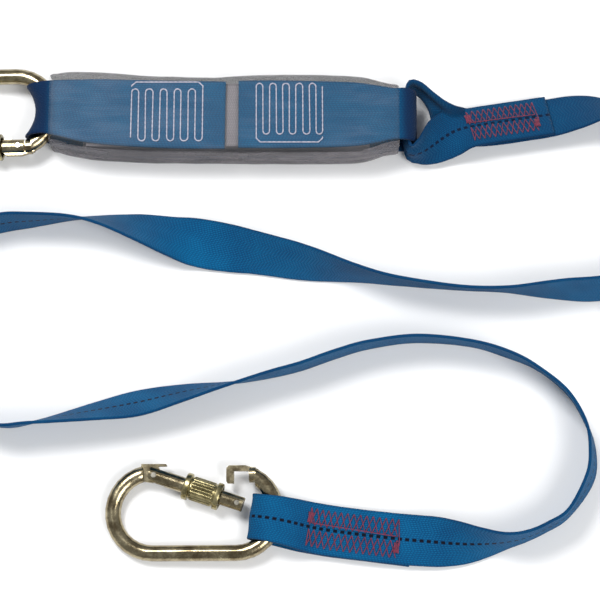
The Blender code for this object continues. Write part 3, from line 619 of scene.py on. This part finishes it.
def mesh_piece(
    name: str, points: Sequence, faces: Sequence, material: bpy.types.Material
) -> bpy.types.Object:
    """A smooth-shaded mesh object.

    Args:
        name: the piece's name.
        points: its corners in metres.
        faces: each face's corner numbers.
        material: its finish.

    Returns:
        The object, linked to the scene.
    """
    mesh = bpy.data.meshes.new(name)
    mesh.from_pydata([tuple(map(float, p)) for p in points], [], [tuple(map(int, f)) for f in faces])
    mesh.materials.append(material)
    mesh.polygons.foreach_set("use_smooth", [True] * len(mesh.polygons))
    mesh.update()
    return linked(name, mesh)


def lofted(rings: int, count: int, ending: Ending = Ending.CAPPED) -> list[tuple[int, ...]]:
    """Faces of a skin over equal rings.

    Args:
        rings: how many rings there are.
        count: how many points each has.
        ending: what closes the skin.

    Returns:
        The faces, those that close it last.
    """
    faces = [
        (i * count + k, i * count + (k + 1) % count, (i + 1) * count + (k + 1) % count, (i + 1) * count + k)
        for i in range(rings - 1)
        for k in range(count)
    ]
    last = (rings - 1) * count
    if ending is Ending.CAPPED:
        faces.append(tuple(range(count))[::-1])
        faces.append(tuple(last + k for k in range(count)))
    else:
        faces += [(last + k, last + (k + 1) % count, (k + 1) % count, k) for k in range(count)]
    return faces


def outward(piece: bpy.types.Object) -> bpy.types.Object:
    """Turns a closed mesh's faces outwards."""
    bm = bmesh.new()
    bm.from_mesh(piece.data)
    bmesh.ops.recalc_face_normals(bm, faces=bm.faces)
    bm.to_mesh(piece.data)
    bm.free()
    return piece


@dataclass
class Ribbon:
    """A length of webbing along smoothed stations, with its own frames at even steps."""

    stations: list[Station]
    width: float
    thickness: float
    step: float = 2.4 * MM
    across: int = 15
    pleat: float = 0.0
    sway: float = 0.12 * MM
    rim: float = 0.10 * MM
    edge_wave: float = 0.16 * MM
    edge_pitch: float = 4.2 * MM
    centre: np.ndarray = field(init=False)
    side: np.ndarray = field(init=False)
    face: np.ndarray = field(init=False)
    extra: np.ndarray = field(init=False)
    length: np.ndarray = field(init=False)

    def __post_init__(self) -> None:
        """Reads the frames off the stations."""
        rows = np.array(self.stations, float)
        dense = np.array([catmull(rows, t) for t in np.linspace(0, len(rows) - 1, 24 * len(rows))])
        reach = np.concatenate([[0.0], np.cumsum(np.linalg.norm(np.diff(dense[:, :3], axis=0), axis=1))]) * MM
        self.length = np.linspace(0.0, reach[-1], int(reach[-1] / self.step) + 1)
        even = np.stack([np.interp(self.length, reach, column) for column in dense.T], 1)
        self.centre = even[:, :3] * MM
        heading, roll = np.radians(even[:, 3]), np.radians(even[:, 4])
        level = np.stack([-np.sin(heading), np.cos(heading), 0 * heading], 1)
        side = level * np.cos(roll)[:, None] + np.array([0.0, 0.0, 1.0]) * np.sin(roll)[:, None]
        tangent = unit(np.gradient(self.centre, axis=0))
        self.side = unit(side - tangent * (side * tangent).sum(1)[:, None])
        self.face = np.cross(tangent, self.side)
        self.extra = even[:, 5:]

    @property
    def total(self) -> float:
        """The whole length in metres."""
        return float(self.length[-1])

    def at(self, place: float, across: float, lift: float) -> np.ndarray:
        """A point over the tracer face.

        Args:
            place: metres from the start, or from the far end if negative.
            across: metres from the middle line.
            lift: metres above the middle of the thickness.

        Returns:
            The point.
        """
        s = place if place >= 0 else self.total + place
        rows = [
            np.array([np.interp(s, self.length, column) for column in table.T])
            for table in (self.centre, self.side, self.face)
        ]
        return rows[0] + rows[1] * across + rows[2] * lift

    def profile(self) -> list[tuple[float, float]]:
        """The cross-section, as shares of half the width and of half the thickness."""
        flat = [(float(x), 1.0) for x in np.linspace(0.955, -0.955, self.across)]
        half = [(1.0, 0.45), (0.985, 0.8)] + flat + [(-0.985, 0.8), (-1.0, 0.45)]
        return half + [(-x, -y) for x, y in half]

    def mesh(self, name: str, material: bpy.types.Material) -> bpy.types.Object:
        """The webbing as a closed mesh with its weave coordinates.

        Args:
            name: the piece's name.
            material: its finish.

        Returns:
            The mesh object.
        """
        profile = self.profile()
        count = len(profile)
        points = []
        for i, (c, w, f, e) in enumerate(zip(self.centre, self.side, self.face, self.extra)):
            s = float(self.length[i])
            half = e[0] * self.width / 2
            ahead = e[1] * MM if len(e) > 1 else 0.0
            slack = max(0.0, 1.0 - e[0])
            for x, y in profile:
                wave = self.sway * noise.noise(Vector((s * 55.0, x * 1.1, 3.7)))
                fold = self.pleat * slack * math.cos(x * math.pi * 1.5)
                rim = self.rim * (1 if abs(x) > 0.9 else 0) * y
                edge = self.edge_wave * math.sin(s * 2 * math.pi / self.edge_pitch) * (abs(x) > 0.97)
                point = c + w * (half * x + math.copysign(edge, x) * 0.5) + f * (
                    y * self.thickness / 2 + wave + fold + rim
                )
                point = point + np.array([-ahead * x * x, 0.0, 0.0])
                points.append(point)
        faces = lofted(len(self.centre), count)
        made = outward(mesh_piece(name, points, faces, material))
        self.lay_weave(made, profile, count)
        return made

    def lay_weave(self, piece: bpy.types.Object, profile: list[tuple[float, float]], count: int) -> None:
        """Stores metres across and along on each corner, and which faces carry the tracer.

        Args:
            piece: the webbing's mesh.
            profile: the cross-section it was made with.
            count: how many points that has.
        """
        mesh = piece.data
        weave = mesh.uv_layers.new(name="weave")
        tracer = mesh.attributes.new("tracer_face", "FLOAT", "FACE")
        half = self.width / 2
        for polygon in mesh.polygons:
            corners = [mesh.loops[k].vertex_index for k in polygon.loop_indices]
            top = all(profile[v % count][1] > 0 for v in corners)
            tracer.data[polygon.index].value = 1.0 if top else 0.0
            for k, v in zip(polygon.loop_indices, corners):
                weave.data[k].uv = (profile[v % count][0] * half, self.length[v // count])


@dataclass
class StitchLine:
    """Lock stitches along a line: each one a raised length of thread that dips to its needle hole."""

    thread: float
    pitch: float = 2.6 * MM
    dip: float = 0.3 * MM
    step: float = 0.43 * MM
    sides: int = 6

    def mesh(
        self,
        name: str,
        line: Sequence[np.ndarray],
        up: Callable[[np.ndarray], np.ndarray],
        material: bpy.types.Material,
    ) -> bpy.types.Object:
        """The whole line as one closed mesh.

        Args:
            name: the piece's name.
            line: the corners of the line that the thread follows.
            up: the direction away from the fabric at a point.
            material: the thread's finish.

        Returns:
            The mesh object.
        """
        corners = np.array(line, float)
        reach = np.concatenate([[0.0], np.cumsum(np.linalg.norm(np.diff(corners, axis=0), axis=1))])
        places = np.linspace(0.0, reach[-1], int(reach[-1] / self.step) + 1)
        path = np.stack([np.interp(places, reach, column) for column in corners.T], 1)
        tangent = unit(np.gradient(path, axis=0) + 1e-12)
        points = []
        for s, p, t in zip(places, path, tangent):
            n = up(p)
            n = unit(n - t * float(n @ t))
            b = np.cross(t, n)
            raised = abs(math.sin(math.pi * s / self.pitch)) ** 0.55
            radius = self.thread / 2 * (0.55 + 0.45 * raised)
            middle = p - n * self.dip * (1.0 - raised)
            for k in range(self.sides):
                a = 2 * math.pi * k / self.sides
                points.append(middle + (n * math.cos(a) + b * math.sin(a)) * radius)
        return outward(mesh_piece(name, points, lofted(len(path), self.sides), material))


def framed_serpentine(
    first: float, pitch: float, columns: int, edge: float, turn: float, bottom: float
) -> list[tuple[float, float]]:
    """Columns across the webbing joined by round turns, with a line along the edge round them.

    Args:
        first: the first column.
        pitch: the step to the next one, negative if they run towards -X.
        columns: how many columns there are.
        edge: how far the first column runs, and where the line along the webbing lies.
        turn: where the other columns turn on that side.
        bottom: where all of them turn on the other side.

    Returns:
        The line's points.
    """
    r = abs(pitch) / 2
    side = math.copysign(1.0, edge - bottom)
    last = first + pitch * (columns - 1)
    corner, past_turn, join = 2.4 * MM, 1.4 * MM, 0.2 * MM
    line = [(last, turn + side * past_turn), (last, edge - side * corner), (last - pitch * 0.6, edge)]
    line += [(first + pitch * 0.6, edge), (first, edge - side * corner)]
    for k in range(columns):
        x = first + pitch * k
        low, high = bottom + side * r, turn - side * r
        if k == 0:
            high = edge - side * (corner + join)
        ends = (high, low) if k % 2 == 0 else (low, high)
        line += [(x, ends[0]), (x, ends[1])]
        if k < columns - 1:
            way = -side if k % 2 == 0 else side
            middle = bottom + side * r if k % 2 == 0 else turn - side * r
            for degrees in (30, 60, 90, 120, 150):
                a = math.radians(degrees)
                line.append((x + pitch / 2 * (1 - math.cos(a)), middle + way * r * math.sin(a)))
    return line


# ------------------------------------------------------------------ sub-assemblies


@dataclass
class LanyardWebbing:
    """The lanyard's one length of webbing and the stitching of its two eyes."""

    width: float = 30.0 * MM
    thickness: float = 2.0 * MM
    drawn_thickness: float = 1.7 * MM  # leaves room for the rods at their limits
    thread: float = 0.62 * MM
    seam_half: float = 11.5 * MM
    seam_gap: float = 1.2 * MM
    near_seam: tuple[float, float] = (9.0 * MM, 50.0 * MM)
    far_seam: tuple[float, float] = (-193.0 * MM, -139.0 * MM)
    zigzag: float = 3.6 * MM

    def build(self) -> None:
        """Makes the webbing and its seams, and logs its length."""
        finish = WebbingFinish(
            "blue_webbing",
            (0.001, 0.132, 0.30),
            (0.0005, 0.046, 0.14),
            self.width / 2,
            tracer=True,
            # painted shade from here towards the absorber
            shaded_from=-70.0 * MM,
        )
        ribbon = Ribbon(LANYARD, self.width, self.drawn_thickness, pleat=2.6 * MM)
        strap = ribbon.mesh("woven_lanyard", finish.material())
        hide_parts("lanyard_webbing")
        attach(strap, "absorber")
        red = ThreadFinish("red_thread", (0.21, 0.008, 0.045), (0.07, 0.004, 0.03)).material()
        near = self.seam(ribbon, "near_eye_seam", self.near_seam, red)
        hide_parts("near_eye_stitching")
        far = self.seam(ribbon, "far_eye_seam", self.far_seam, red)
        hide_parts("far_eye_stitching")
        for piece in (near, far):
            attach(piece, "absorber")
        log.info("lanyard webbing %.3f m", ribbon.total)

    def seam(
        self, ribbon: Ribbon, name: str, ends: tuple[float, float], material: bpy.types.Material
    ) -> bpy.types.Object:
        """Two rows of crossing zigzags with a dense tack at opposite corners.

        Args:
            ribbon: the webbing that it is sewn through.
            name: the piece's name.
            ends: where it starts and ends along the webbing.
            material: the thread's finish.

        Returns:
            The stitching as one mesh.
        """
        lift = self.thickness / 2 + self.thread / 2 + 0.1 * MM
        start, stop = ends
        count = 2 * round((stop - start) / self.zigzag / 2)
        line: list[np.ndarray] = []
        for row in (1, -1):
            for way in (0, 1):
                for k in range(count + 1):
                    share = k / count if way == 0 else 1 - k / count
                    outer = (k + way) % 2 == 0
                    across = row * (self.seam_half if outer else self.seam_gap)
                    place = start + (stop - start) * share
                    line.append(ribbon.at(place, across, lift + 0.2 * MM * way))
            line += self.tack(ribbon, start if row == 1 else stop, row, lift)
        zone = self.zone(ribbon, ends)

        def away(point: np.ndarray) -> np.ndarray:
            """The tracer face's direction nearest to a point."""
            near = zone[np.argmin(np.linalg.norm(ribbon.centre[zone] - point, axis=1))]
            return ribbon.face[near]

        return StitchLine(self.thread, pitch=3.1 * MM).mesh(name, line, away, material)

    def tack(self, ribbon: Ribbon, place: float, row: int, lift: float) -> list[np.ndarray]:
        """A dense block of short stitches at a corner of the seam.

        Args:
            ribbon: the webbing that it is sewn through.
            place: where the block stands along the webbing.
            row: 1 or -1 for the side that it is on.
            lift: how high the thread lies.

        Returns:
            The block's corners.
        """
        inner, outer = self.seam_gap * 2.0, self.seam_half * 0.75
        return [
            ribbon.at(place + (k % 5 - 2) * 0.75 * MM, row * (outer if k % 2 else inner), lift + 0.35 * MM)
            for k in range(11)
        ]

    def zone(self, ribbon: Ribbon, ends: tuple[float, float]) -> np.ndarray:
        """The numbers of the webbing's frames under a seam."""
        low, high = (e if e >= 0 else ribbon.total + e for e in ends)
        return np.nonzero((ribbon.length > low - 6 * MM) & (ribbon.length < high + 6 * MM))[0]


@dataclass
class AbsorberPack:
    """Folded tear webbing with a sewn loop at each end, in a clear film cover."""

    loop_width: float = 41.0 * MM
    loop_thickness: float = 2.2 * MM
    core_width: float = 40.0 * MM
    core_thickness: float = 2.2 * MM
    core_pitch: float = 2.6 * MM
    core_layers: int = 8
    core_bottom: float = 4.0 * MM
    core_span: tuple[float, float] = (-85.0 * MM, 86.0 * MM)
    thread: float = 0.9 * MM
    stitch_drift: float = 0.45 * MM
    top_leg: float = 25.7 * MM  # middle of the loops' upper legs above the base
    film: float = 0.3 * MM
    film_gap: float = 0.35 * MM

    def build(self) -> None:
        """Makes the core, the loops, their stitching and the cover."""
        self.build_core()
        self.build_loops()
        self.build_stitching()
        self.build_cover()

    def build_core(self) -> None:
        """The tear webbing, folded back and forth with round turns."""
        rows: list[Station] = []
        for layer in range(self.core_layers):
            z = (self.core_bottom + self.core_thickness / 2 + layer * self.core_pitch) / MM
            ends = [e / MM for e in self.core_span]
            ends = ends if layer % 2 == 0 else ends[::-1]
            rows += [(x, 0.0, z) for x in np.linspace(ends[0], ends[1], 30)]
            if layer < self.core_layers - 1:
                way = 1 if ends[1] > ends[0] else -1
                r = self.core_pitch / 2 / MM
                turn = [math.radians(a) for a in (-50, -10, 30)]
                rows += [(ends[1] + way * r * math.cos(a), 0.0, z + r + r * math.sin(a)) for a in turn]
        path = np.array(rows) * MM
        tangent = unit(np.gradient(path, axis=0) + 1e-12)
        normal = np.stack([-tangent[:, 2], 0 * tangent[:, 1], tangent[:, 0]], 1)
        reach = np.concatenate([[0.0], np.cumsum(np.linalg.norm(np.diff(path, axis=0), axis=1))])
        xs = np.linspace(1.0, -1.0, 9)
        profile = [(x, 0.92) for x in xs] + [(-x, -0.92) for x in xs]
        points = []
        for s, p, n in zip(reach, path, normal):
            slip = 0.5 * MM * noise.noise(Vector((s * 14.0, 0.3, 9.0)))
            for x, y in profile:
                across = np.array([0.0, x * self.core_width / 2 + slip, 0.0])
                points.append(p + across + n * y * self.core_thickness / 2)
        finish = WebbingFinish(
            "tear_webbing",
            (0.40, 0.37, 0.38),
            (0.20, 0.18, 0.20),
            self.core_width / 2,
            row=1.0 * MM,
            pick=1.4 * MM,
        )
        faces = lofted(len(path), len(profile))
        core = outward(mesh_piece("folded_tear_webbing", points, faces, finish.material()))
        weave = core.data.uv_layers.new(name="weave")
        core.data.attributes.new("tracer_face", "FLOAT", "FACE")
        for k, loop in enumerate(core.data.loops):
            row, column = divmod(loop.vertex_index, len(profile))
            weave.data[k].uv = (profile[column][0] * self.core_width / 2, reach[row])
        core.data.set_sharp_from_angle(angle=math.radians(50))
        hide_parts("tear_webbing_core")
        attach(core, "absorber")
        log.info("tear webbing %.2f m in %d layers", reach[-1], self.core_layers)

    def build_loops(self) -> None:
        """The two loops of blue webbing, with painted shade on their bare ends."""
        finish = WebbingFinish(
            "loop_webbing",
            (0.002, 0.128, 0.27),
            (0.001, 0.055, 0.15),
            self.loop_width / 2,
            row=1.3 * MM,
            pick=2.0 * MM,
            # the loops' ends past this get painted shade
            end_shade_from=104.0 * MM,
        )
        material = finish.material()
        for name, stations, node in (
            ("harness_end_loop", HARNESS_LOOP, "harness_loop_strap"),
            ("lanyard_end_loop", LANYARD_LOOP, "lanyard_loop_strap"),
        ):
            ribbon = Ribbon(stations, self.loop_width, self.loop_thickness, step=2.0 * MM, sway=0.06 * MM)
            loop = ribbon.mesh(name, material)
            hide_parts(node)
            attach(loop, "absorber")
            log.info("%s %.3f m", name, ribbon.total)

    def build_stitching(self) -> None:
        """White serpentine stitching through both loops' top legs."""
        z = self.top_leg + self.loop_thickness / 2 + self.thread / 2 + 0.1 * MM
        first = framed_serpentine(-14.0 * MM, -4.35 * MM, 11, 20.2 * MM, 15.8 * MM, -17.5 * MM)
        second = framed_serpentine(19.0 * MM, 4.05 * MM, 11, -18.2 * MM, -13.2 * MM, 19.4 * MM)
        white = ThreadFinish("white_thread", (0.66, 0.64, 0.76), (0.42, 0.42, 0.56)).material()
        for name, line, node in (
            ("harness_side_seam", first, "harness_side_stitching"),
            ("lanyard_side_seam", second, "lanyard_side_stitching"),
        ):
            path = []
            for x, y in line:
                drift = self.stitch_drift * noise.noise(Vector((x * 130.0, y * 130.0, 1.0)))
                path.append(np.array([x + drift, y, z]))
            seam = StitchLine(self.thread, pitch=3.0 * MM, dip=0.25 * MM).mesh(
                name, path, lambda p: np.array([0.0, 0.0, 1.0]), white
            )
            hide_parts(node)
            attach(seam, "absorber")
            log.info("%s sewn", name)

    def wrinkle(self, x: float, y: float, z: float, share: float) -> float:
        """How far the film stands off its even shape, in metres.

        Args:
            x: along the pack.
            y: across it.
            z: above its base.
            share: how slack the film is there, from 0 to 1.

        Returns:
            The offset, outwards.
        """
        slow = noise.noise(Vector((x * 24.0, y * 30.0, z * 40.0)))
        ridges = 1.0 - abs(noise.noise(Vector((x * 34.0, y * 95.0 + 4.0, z * 95.0)))) * 3.2
        return (0.16 * slow + 0.20 * max(0.0, ridges) * (0.35 + share)) * MM * (0.7 + 1.1 * share)

    def cover_ring(self, row: np.ndarray, inset: float, per_side: int) -> list[np.ndarray]:
        """One ring of the cover, with its wrinkles.

        Args:
            row: X, front Y, back Y, top Z, bottom Z and corner radius, in mm.
            inset: how far inside the outer skin, in metres.
            per_side: points along each straight side.

        Returns:
            The ring's points.
        """
        x, front, back, top, bottom, radius = (float(v) * MM for v in row)
        r = max(radius - inset, 0.4 * MM)
        y0, y1, z0, z1 = front + inset, back - inset, bottom + inset, top - inset
        corners = ((y1 - r, z1 - r, 0), (y0 + r, z1 - r, 90), (y0 + r, z0 + r, 180), (y1 - r, z0 + r, 270))
        ring: list[tuple[float, float, float, float]] = []
        for i, (cy, cz, start) in enumerate(corners):
            for step in range(7):
                a = math.radians(start + 15 * step)
                ring.append((cy + r * math.cos(a), cz + r * math.sin(a), math.cos(a), math.sin(a)))
            a = math.radians(start + 90)
            ny, nz = corners[(i + 1) % 4][:2]
            here = (cy + r * math.cos(a), cz + r * math.sin(a))
            there = (ny + r * math.cos(a), nz + r * math.sin(a))
            for k in range(1, per_side):
                f = k / per_side
                y, z = (h + (t - h) * f for h, t in zip(here, there))
                ring.append((y, z, math.cos(a), math.sin(a)))
        slack = max(0.0, (x - 80 * MM) / (26 * MM)) + max(0.0, (-92 * MM - x) / (16 * MM))
        points = []
        for y, z, ny, nz in ring:
            out = self.wrinkle(x, y, z, min(1.0, slack + (0.45 if nz < 0.5 else 0.0)))
            if nz < -0.3:  # it lies flat on what it stands on
                out = 0.0
            points.append(np.array([x, y + ny * out, z + nz * out]))
        return points

    def build_cover(self) -> None:
        """The clear film tube round the pack, open at both ends."""
        rows = np.array(COVER, float)
        xs = np.arange(rows[0, 0], rows[-1, 0] + 0.01, 1.6)
        table = np.stack([np.interp(xs, rows[:, 0], column) for column in rows.T], 1)
        smooth = table.copy()
        for k in range(1, len(table) - 1):
            smooth[k, 1:] = table[max(k - 3, 0) : k + 4, 1:].mean(0)
        outer = [self.cover_ring(row, self.film_gap, 14) for row in smooth]
        inner = [self.cover_ring(row, self.film_gap + self.film, 14) for row in smooth]
        count = len(outer[0])
        rings = outer + inner[::-1]
        faces = lofted(len(rings), count, Ending.JOINED)
        points = [p for ring in rings for p in ring]
        cover = outward(mesh_piece("film_cover", points, faces, FilmFinish().material()))
        doubled = FilmFinish("doubled_film", (0.155, 0.145, 0.155), (0.27, 0.25, 0.265), 0.52, 0.5, 0.14)
        cover.data.materials.append(doubled.material())
        top = [row[3] * MM for row in smooth]
        for polygon in cover.data.polygons:
            ring = min(polygon.vertices[0] // count, len(rings) - 1)
            row = ring if ring < len(outer) else len(rings) - 1 - ring
            polygon.material_index = 0 if polygon.center.z > top[row] - 2.1 * MM else 1
        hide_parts("absorber_cover")
        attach(cover, "absorber")
        log.info("film cover of %d rings", len(outer))


@dataclass
class ScrewSleeve:
    """Knurled locking sleeve: two collars with a ribbed barrel between them."""

    length: float = 22.8 * MM
    collar: float = 8.2 * MM
    collar_width: float = 3.6 * MM
    barrel: float = 7.3 * MM
    groove: float = 6.8 * MM
    groove_width: float = 1.0 * MM
    bore: float = 5.05 * MM
    counterbore: float = 6.2 * MM
    counterbore_length: float = 10.6 * MM
    ribs: int = 18
    rib_depth: float = 0.55 * MM
    sides: int = 144

    def radii(self) -> list[tuple[float, float, float]]:
        """Along the axis from the back, the radius, and how much of the ribbing shows."""
        c, b, g, w, v = self.collar, self.barrel, self.groove, self.collar_width, self.groove_width
        full = self.length
        rows = [(0.0, c - 0.7 * MM, 0.0), (0.25 * MM, c - 0.25 * MM, 0.0), (0.7 * MM, c, 0.0)]
        rows += [(w - 0.5 * MM, c, 0.0), (w - 0.1 * MM, c - 0.4 * MM, 0.0), (w, g + 0.3 * MM, 0.0)]
        rows += [(w + 0.2 * MM, g, 0.0), (w + v, g, 0.0), (w + v + 0.1 * MM, b - 0.3 * MM, 0.4)]
        rows += [(w + v + 0.5 * MM, b, 1.0)]
        rows += [(x, b, 1.0) for x in np.linspace(w + v + 1.0 * MM, full - w - v - 1.0 * MM, 9)]
        rows += [(full - x, r, k) for x, r, k in rows[:10][::-1]]
        step = full - self.counterbore_length
        rows += [(full, self.counterbore + 0.3 * MM, 0.0), (full - 0.3 * MM, self.counterbore, 0.0)]
        rows += [(step, self.counterbore, 0.0), (step, self.bore, 0.0), (0.3 * MM, self.bore, 0.0)]
        return rows + [(0.0, self.bore + 0.3 * MM, 0.0)]

    def mesh(self, name: str, middle: Vector, axis: Vector, material: bpy.types.Material) -> bpy.types.Object:
        """The sleeve on its axis.

        Args:
            name: the piece's name.
            middle: the middle of its length, on the axis.
            axis: the direction of its front end.
            material: its finish.

        Returns:
            The mesh object.
        """
        u = axis.cross(Vector((0.0, 0.0, 1.0))).normalized()
        v = axis.cross(u)
        start = middle - axis * (self.length / 2)
        points = []
        rows = self.radii()
        for x, radius, ribbed in rows:
            for k in range(self.sides):
                a = 2 * math.pi * k / self.sides
                rib = 0.5 + 0.5 * math.cos(a * self.ribs)
                r = radius - self.rib_depth * ribbed * (1.0 - rib**0.4)
                points.append(start + axis * x + (u * math.cos(a) + v * math.sin(a)) * r)
        faces = lofted(len(rows), self.sides, Ending.JOINED)
        made = outward(mesh_piece(name, points, faces, material))
        made.data.set_sharp_from_angle(angle=math.radians(38))
        return made


@dataclass
class Karabiner:
    """One oval screw-gate karabiner: bent rod, gate, rivets, spring and locking sleeve."""

    end: End
    frame: dict
    plated: bpy.types.Material
    knurled: bpy.types.Material
    plain: bpy.types.Material
    bevel: float = 0.35 * MM
    sharp_deg: float = 34.0
    flat_deg: float = 1.5
    weld: float = 0.004 * MM

    def build(self) -> None:
        """Dresses every CAD piece of this karabiner."""
        prefix = self.end.value
        for node, slot, material, name in (
            ("frame", "zinc", self.plated, "bent_rod"),
            ("gate", "zinc", self.plated, "gate_bar"),
            ("hinge_rivet", "steel", self.plain, "rivet"),
            ("latch_pin", "steel", self.plain, "latch"),
            ("gate_spring", "steel", self.plain, "spring"),
            ("plunger", "steel", self.plain, "cam_pin"),
        ):
            self.polish(f"{prefix}_{node}", f"{prefix}_{name}", slot, material)
        self.build_sleeve()
        log.info("%s karabiner dressed", prefix)

    def polish(self, node: str, name: str, slot: str, material: bpy.types.Material) -> None:
        """A CAD piece's shape with eased edges, smooth shading and its finish.

        Args:
            node: the CAD node that it stands for.
            name: the new piece's name.
            slot: the record's material slot.
            material: its finish.
        """
        source = self.frame["nodes"][node]
        bm = bmesh.new()
        bm.from_mesh(source.data)
        bmesh.ops.remove_doubles(bm, verts=bm.verts, dist=self.weld)
        bmesh.ops.dissolve_limit(
            bm, angle_limit=math.radians(self.flat_deg), verts=bm.verts, edges=bm.edges
        )
        mesh = bpy.data.meshes.new(name)
        bm.to_mesh(mesh)
        bm.free()
        mesh.materials.clear()
        mesh.materials.append(material)
        mesh.polygons.foreach_set("use_smooth", [True] * len(mesh.polygons))
        mesh.polygons.foreach_set("material_index", [0] * len(mesh.polygons))
        mesh.set_sharp_from_angle(angle=math.radians(self.sharp_deg))
        piece = linked(name, mesh)
        if slot == "zinc":
            ease = piece.modifiers.new("eased_edges", "BEVEL")
            ease.width = self.bevel
            ease.segments = 2
            ease.limit_method = "ANGLE"
            ease.angle_limit = math.radians(self.sharp_deg)
            ease.use_clamp_overlap = True
            ease.harden_normals = True
        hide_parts(node)
        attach(piece, self.body_with(node))

    def body_with(self, node: str) -> str:
        """The CAD body that holds a node."""
        bodies = self.frame["record"]["behaviour"]["bodies"]
        return next(name for name, members in bodies.items() if node in members)

    def build_sleeve(self) -> None:
        """The locking sleeve, on the axis that it slides along."""
        node = f"{self.end.value}_screw_sleeve"
        travel = next(j for j in self.frame["joints"] if j["name"] == f"{self.end.value}_sleeve_travel")
        low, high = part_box(node)
        axis = Vector(travel["axis"]).normalized()
        sleeve = ScrewSleeve().mesh(f"{self.end.value}_knurled_sleeve", (low + high) / 2, axis, self.knurled)
        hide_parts(node)
        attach(sleeve, travel["child"])


@dataclass
class Studio:
    """Pale floor, soft lights and the camera."""

    target: Point = (0.0457, -0.1107, 0.0)
    distance: float = 1.224
    elevation_deg: float = 77.0
    lens: float = 120.0
    sensor: float = 36.0
    floor_size: float = 12.0
    lit_spot: Point = (0.04, -0.1, 0.0)
    room_colour: Point = (0.96, 0.98, 1.0)
    room_strength: float = 0.36

    def place_camera(self) -> None:
        """Looks down on the lanyard from the front."""
        data = bpy.data.cameras.new("studio_camera")
        data.lens = self.lens
        data.sensor_width = self.sensor
        data.clip_start, data.clip_end = 0.01, 100.0
        camera = linked("studio_camera", data)
        e = math.radians(self.elevation_deg)
        back = Vector((0.0, -math.cos(e), math.sin(e)))
        camera.location = Vector(self.target) + back * self.distance
        aim(camera, -back)
        bpy.context.scene.camera = camera
        log.info("camera at %s", tuple(round(v, 3) for v in camera.location))

    def light(self, name: str, place: Point, size: float, watts: float) -> None:
        """One soft box.

        Args:
            name: the light's name.
            place: where it stands.
            size: its side in metres.
            watts: its power.
        """
        data = bpy.data.lights.new(name, "AREA")
        data.shape = "SQUARE"
        data.size = size
        data.energy = watts
        lamp = linked(name, data)
        lamp.location = place
        aim(lamp, Vector(self.lit_spot) - Vector(place))

    def build(self) -> None:
        """The floor, the lights and the room's own pale light."""
        half = self.floor_size / 2
        corners = [(-half, -half, 0.0), (half, -half, 0.0), (half, half, 0.0), (-half, half, 0.0)]
        g = Graph("pale_floor")
        mottle = g.noise(g.place(), 6.0, 2.0)
        g.feed(g.shader.inputs["Base Color"], g.mix(mottle, (0.90, 0.90, 0.90), (0.93, 0.93, 0.93)))
        g.shader.inputs["Roughness"].default_value = 0.9
        g.shader.inputs["Specular IOR Level"].default_value = 0.1
        floor = mesh_piece("studio_floor", corners, [(0, 1, 2, 3)], g.material)
        self.light("key_softbox", (-0.55, 0.5, 1.5), 0.6, 24.0)
        self.light("fill_softbox", (0.9, -0.95, 1.4), 0.9, 20.0)
        world = bpy.data.worlds.new("pale_room")
        world.use_nodes = True
        background = world.node_tree.nodes["Background"]
        background.inputs["Color"].default_value = (*self.room_colour, 1.0)
        background.inputs["Strength"].default_value = self.room_strength
        bpy.context.scene.world = world
        bpy.context.scene.view_settings.view_transform = "Standard"


def clear_scene() -> None:
    """Empties the start-up scene."""
    for thing in list(bpy.data.objects):
        bpy.data.objects.remove(thing)


def main() -> None:
    """Builds every sub-assembly in order."""
    logging.basicConfig(level=logging.INFO, format="%(name)s: %(message)s")
    clear_scene()
    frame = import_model()
    studio = Studio()
    studio.place_camera()
    LanyardWebbing().build()
    AbsorberPack().build()
    plated = SteelFinish("yellow_zinc", (0.46, 0.40, 0.26), (0.16, 0.12, 0.065), 0.22).material()
    knurled = SteelFinish("sleeve_zinc", (0.47, 0.41, 0.22), (0.17, 0.14, 0.06), 0.27, 0.2).material()
    plain = SteelFinish("plain_steel", (0.56, 0.53, 0.46), (0.30, 0.28, 0.23), 0.3).material()
    for end in End:
        Karabiner(end, frame, plated, knurled, plain).build()
    studio.build()


if __name__ == "__main__":
    main()
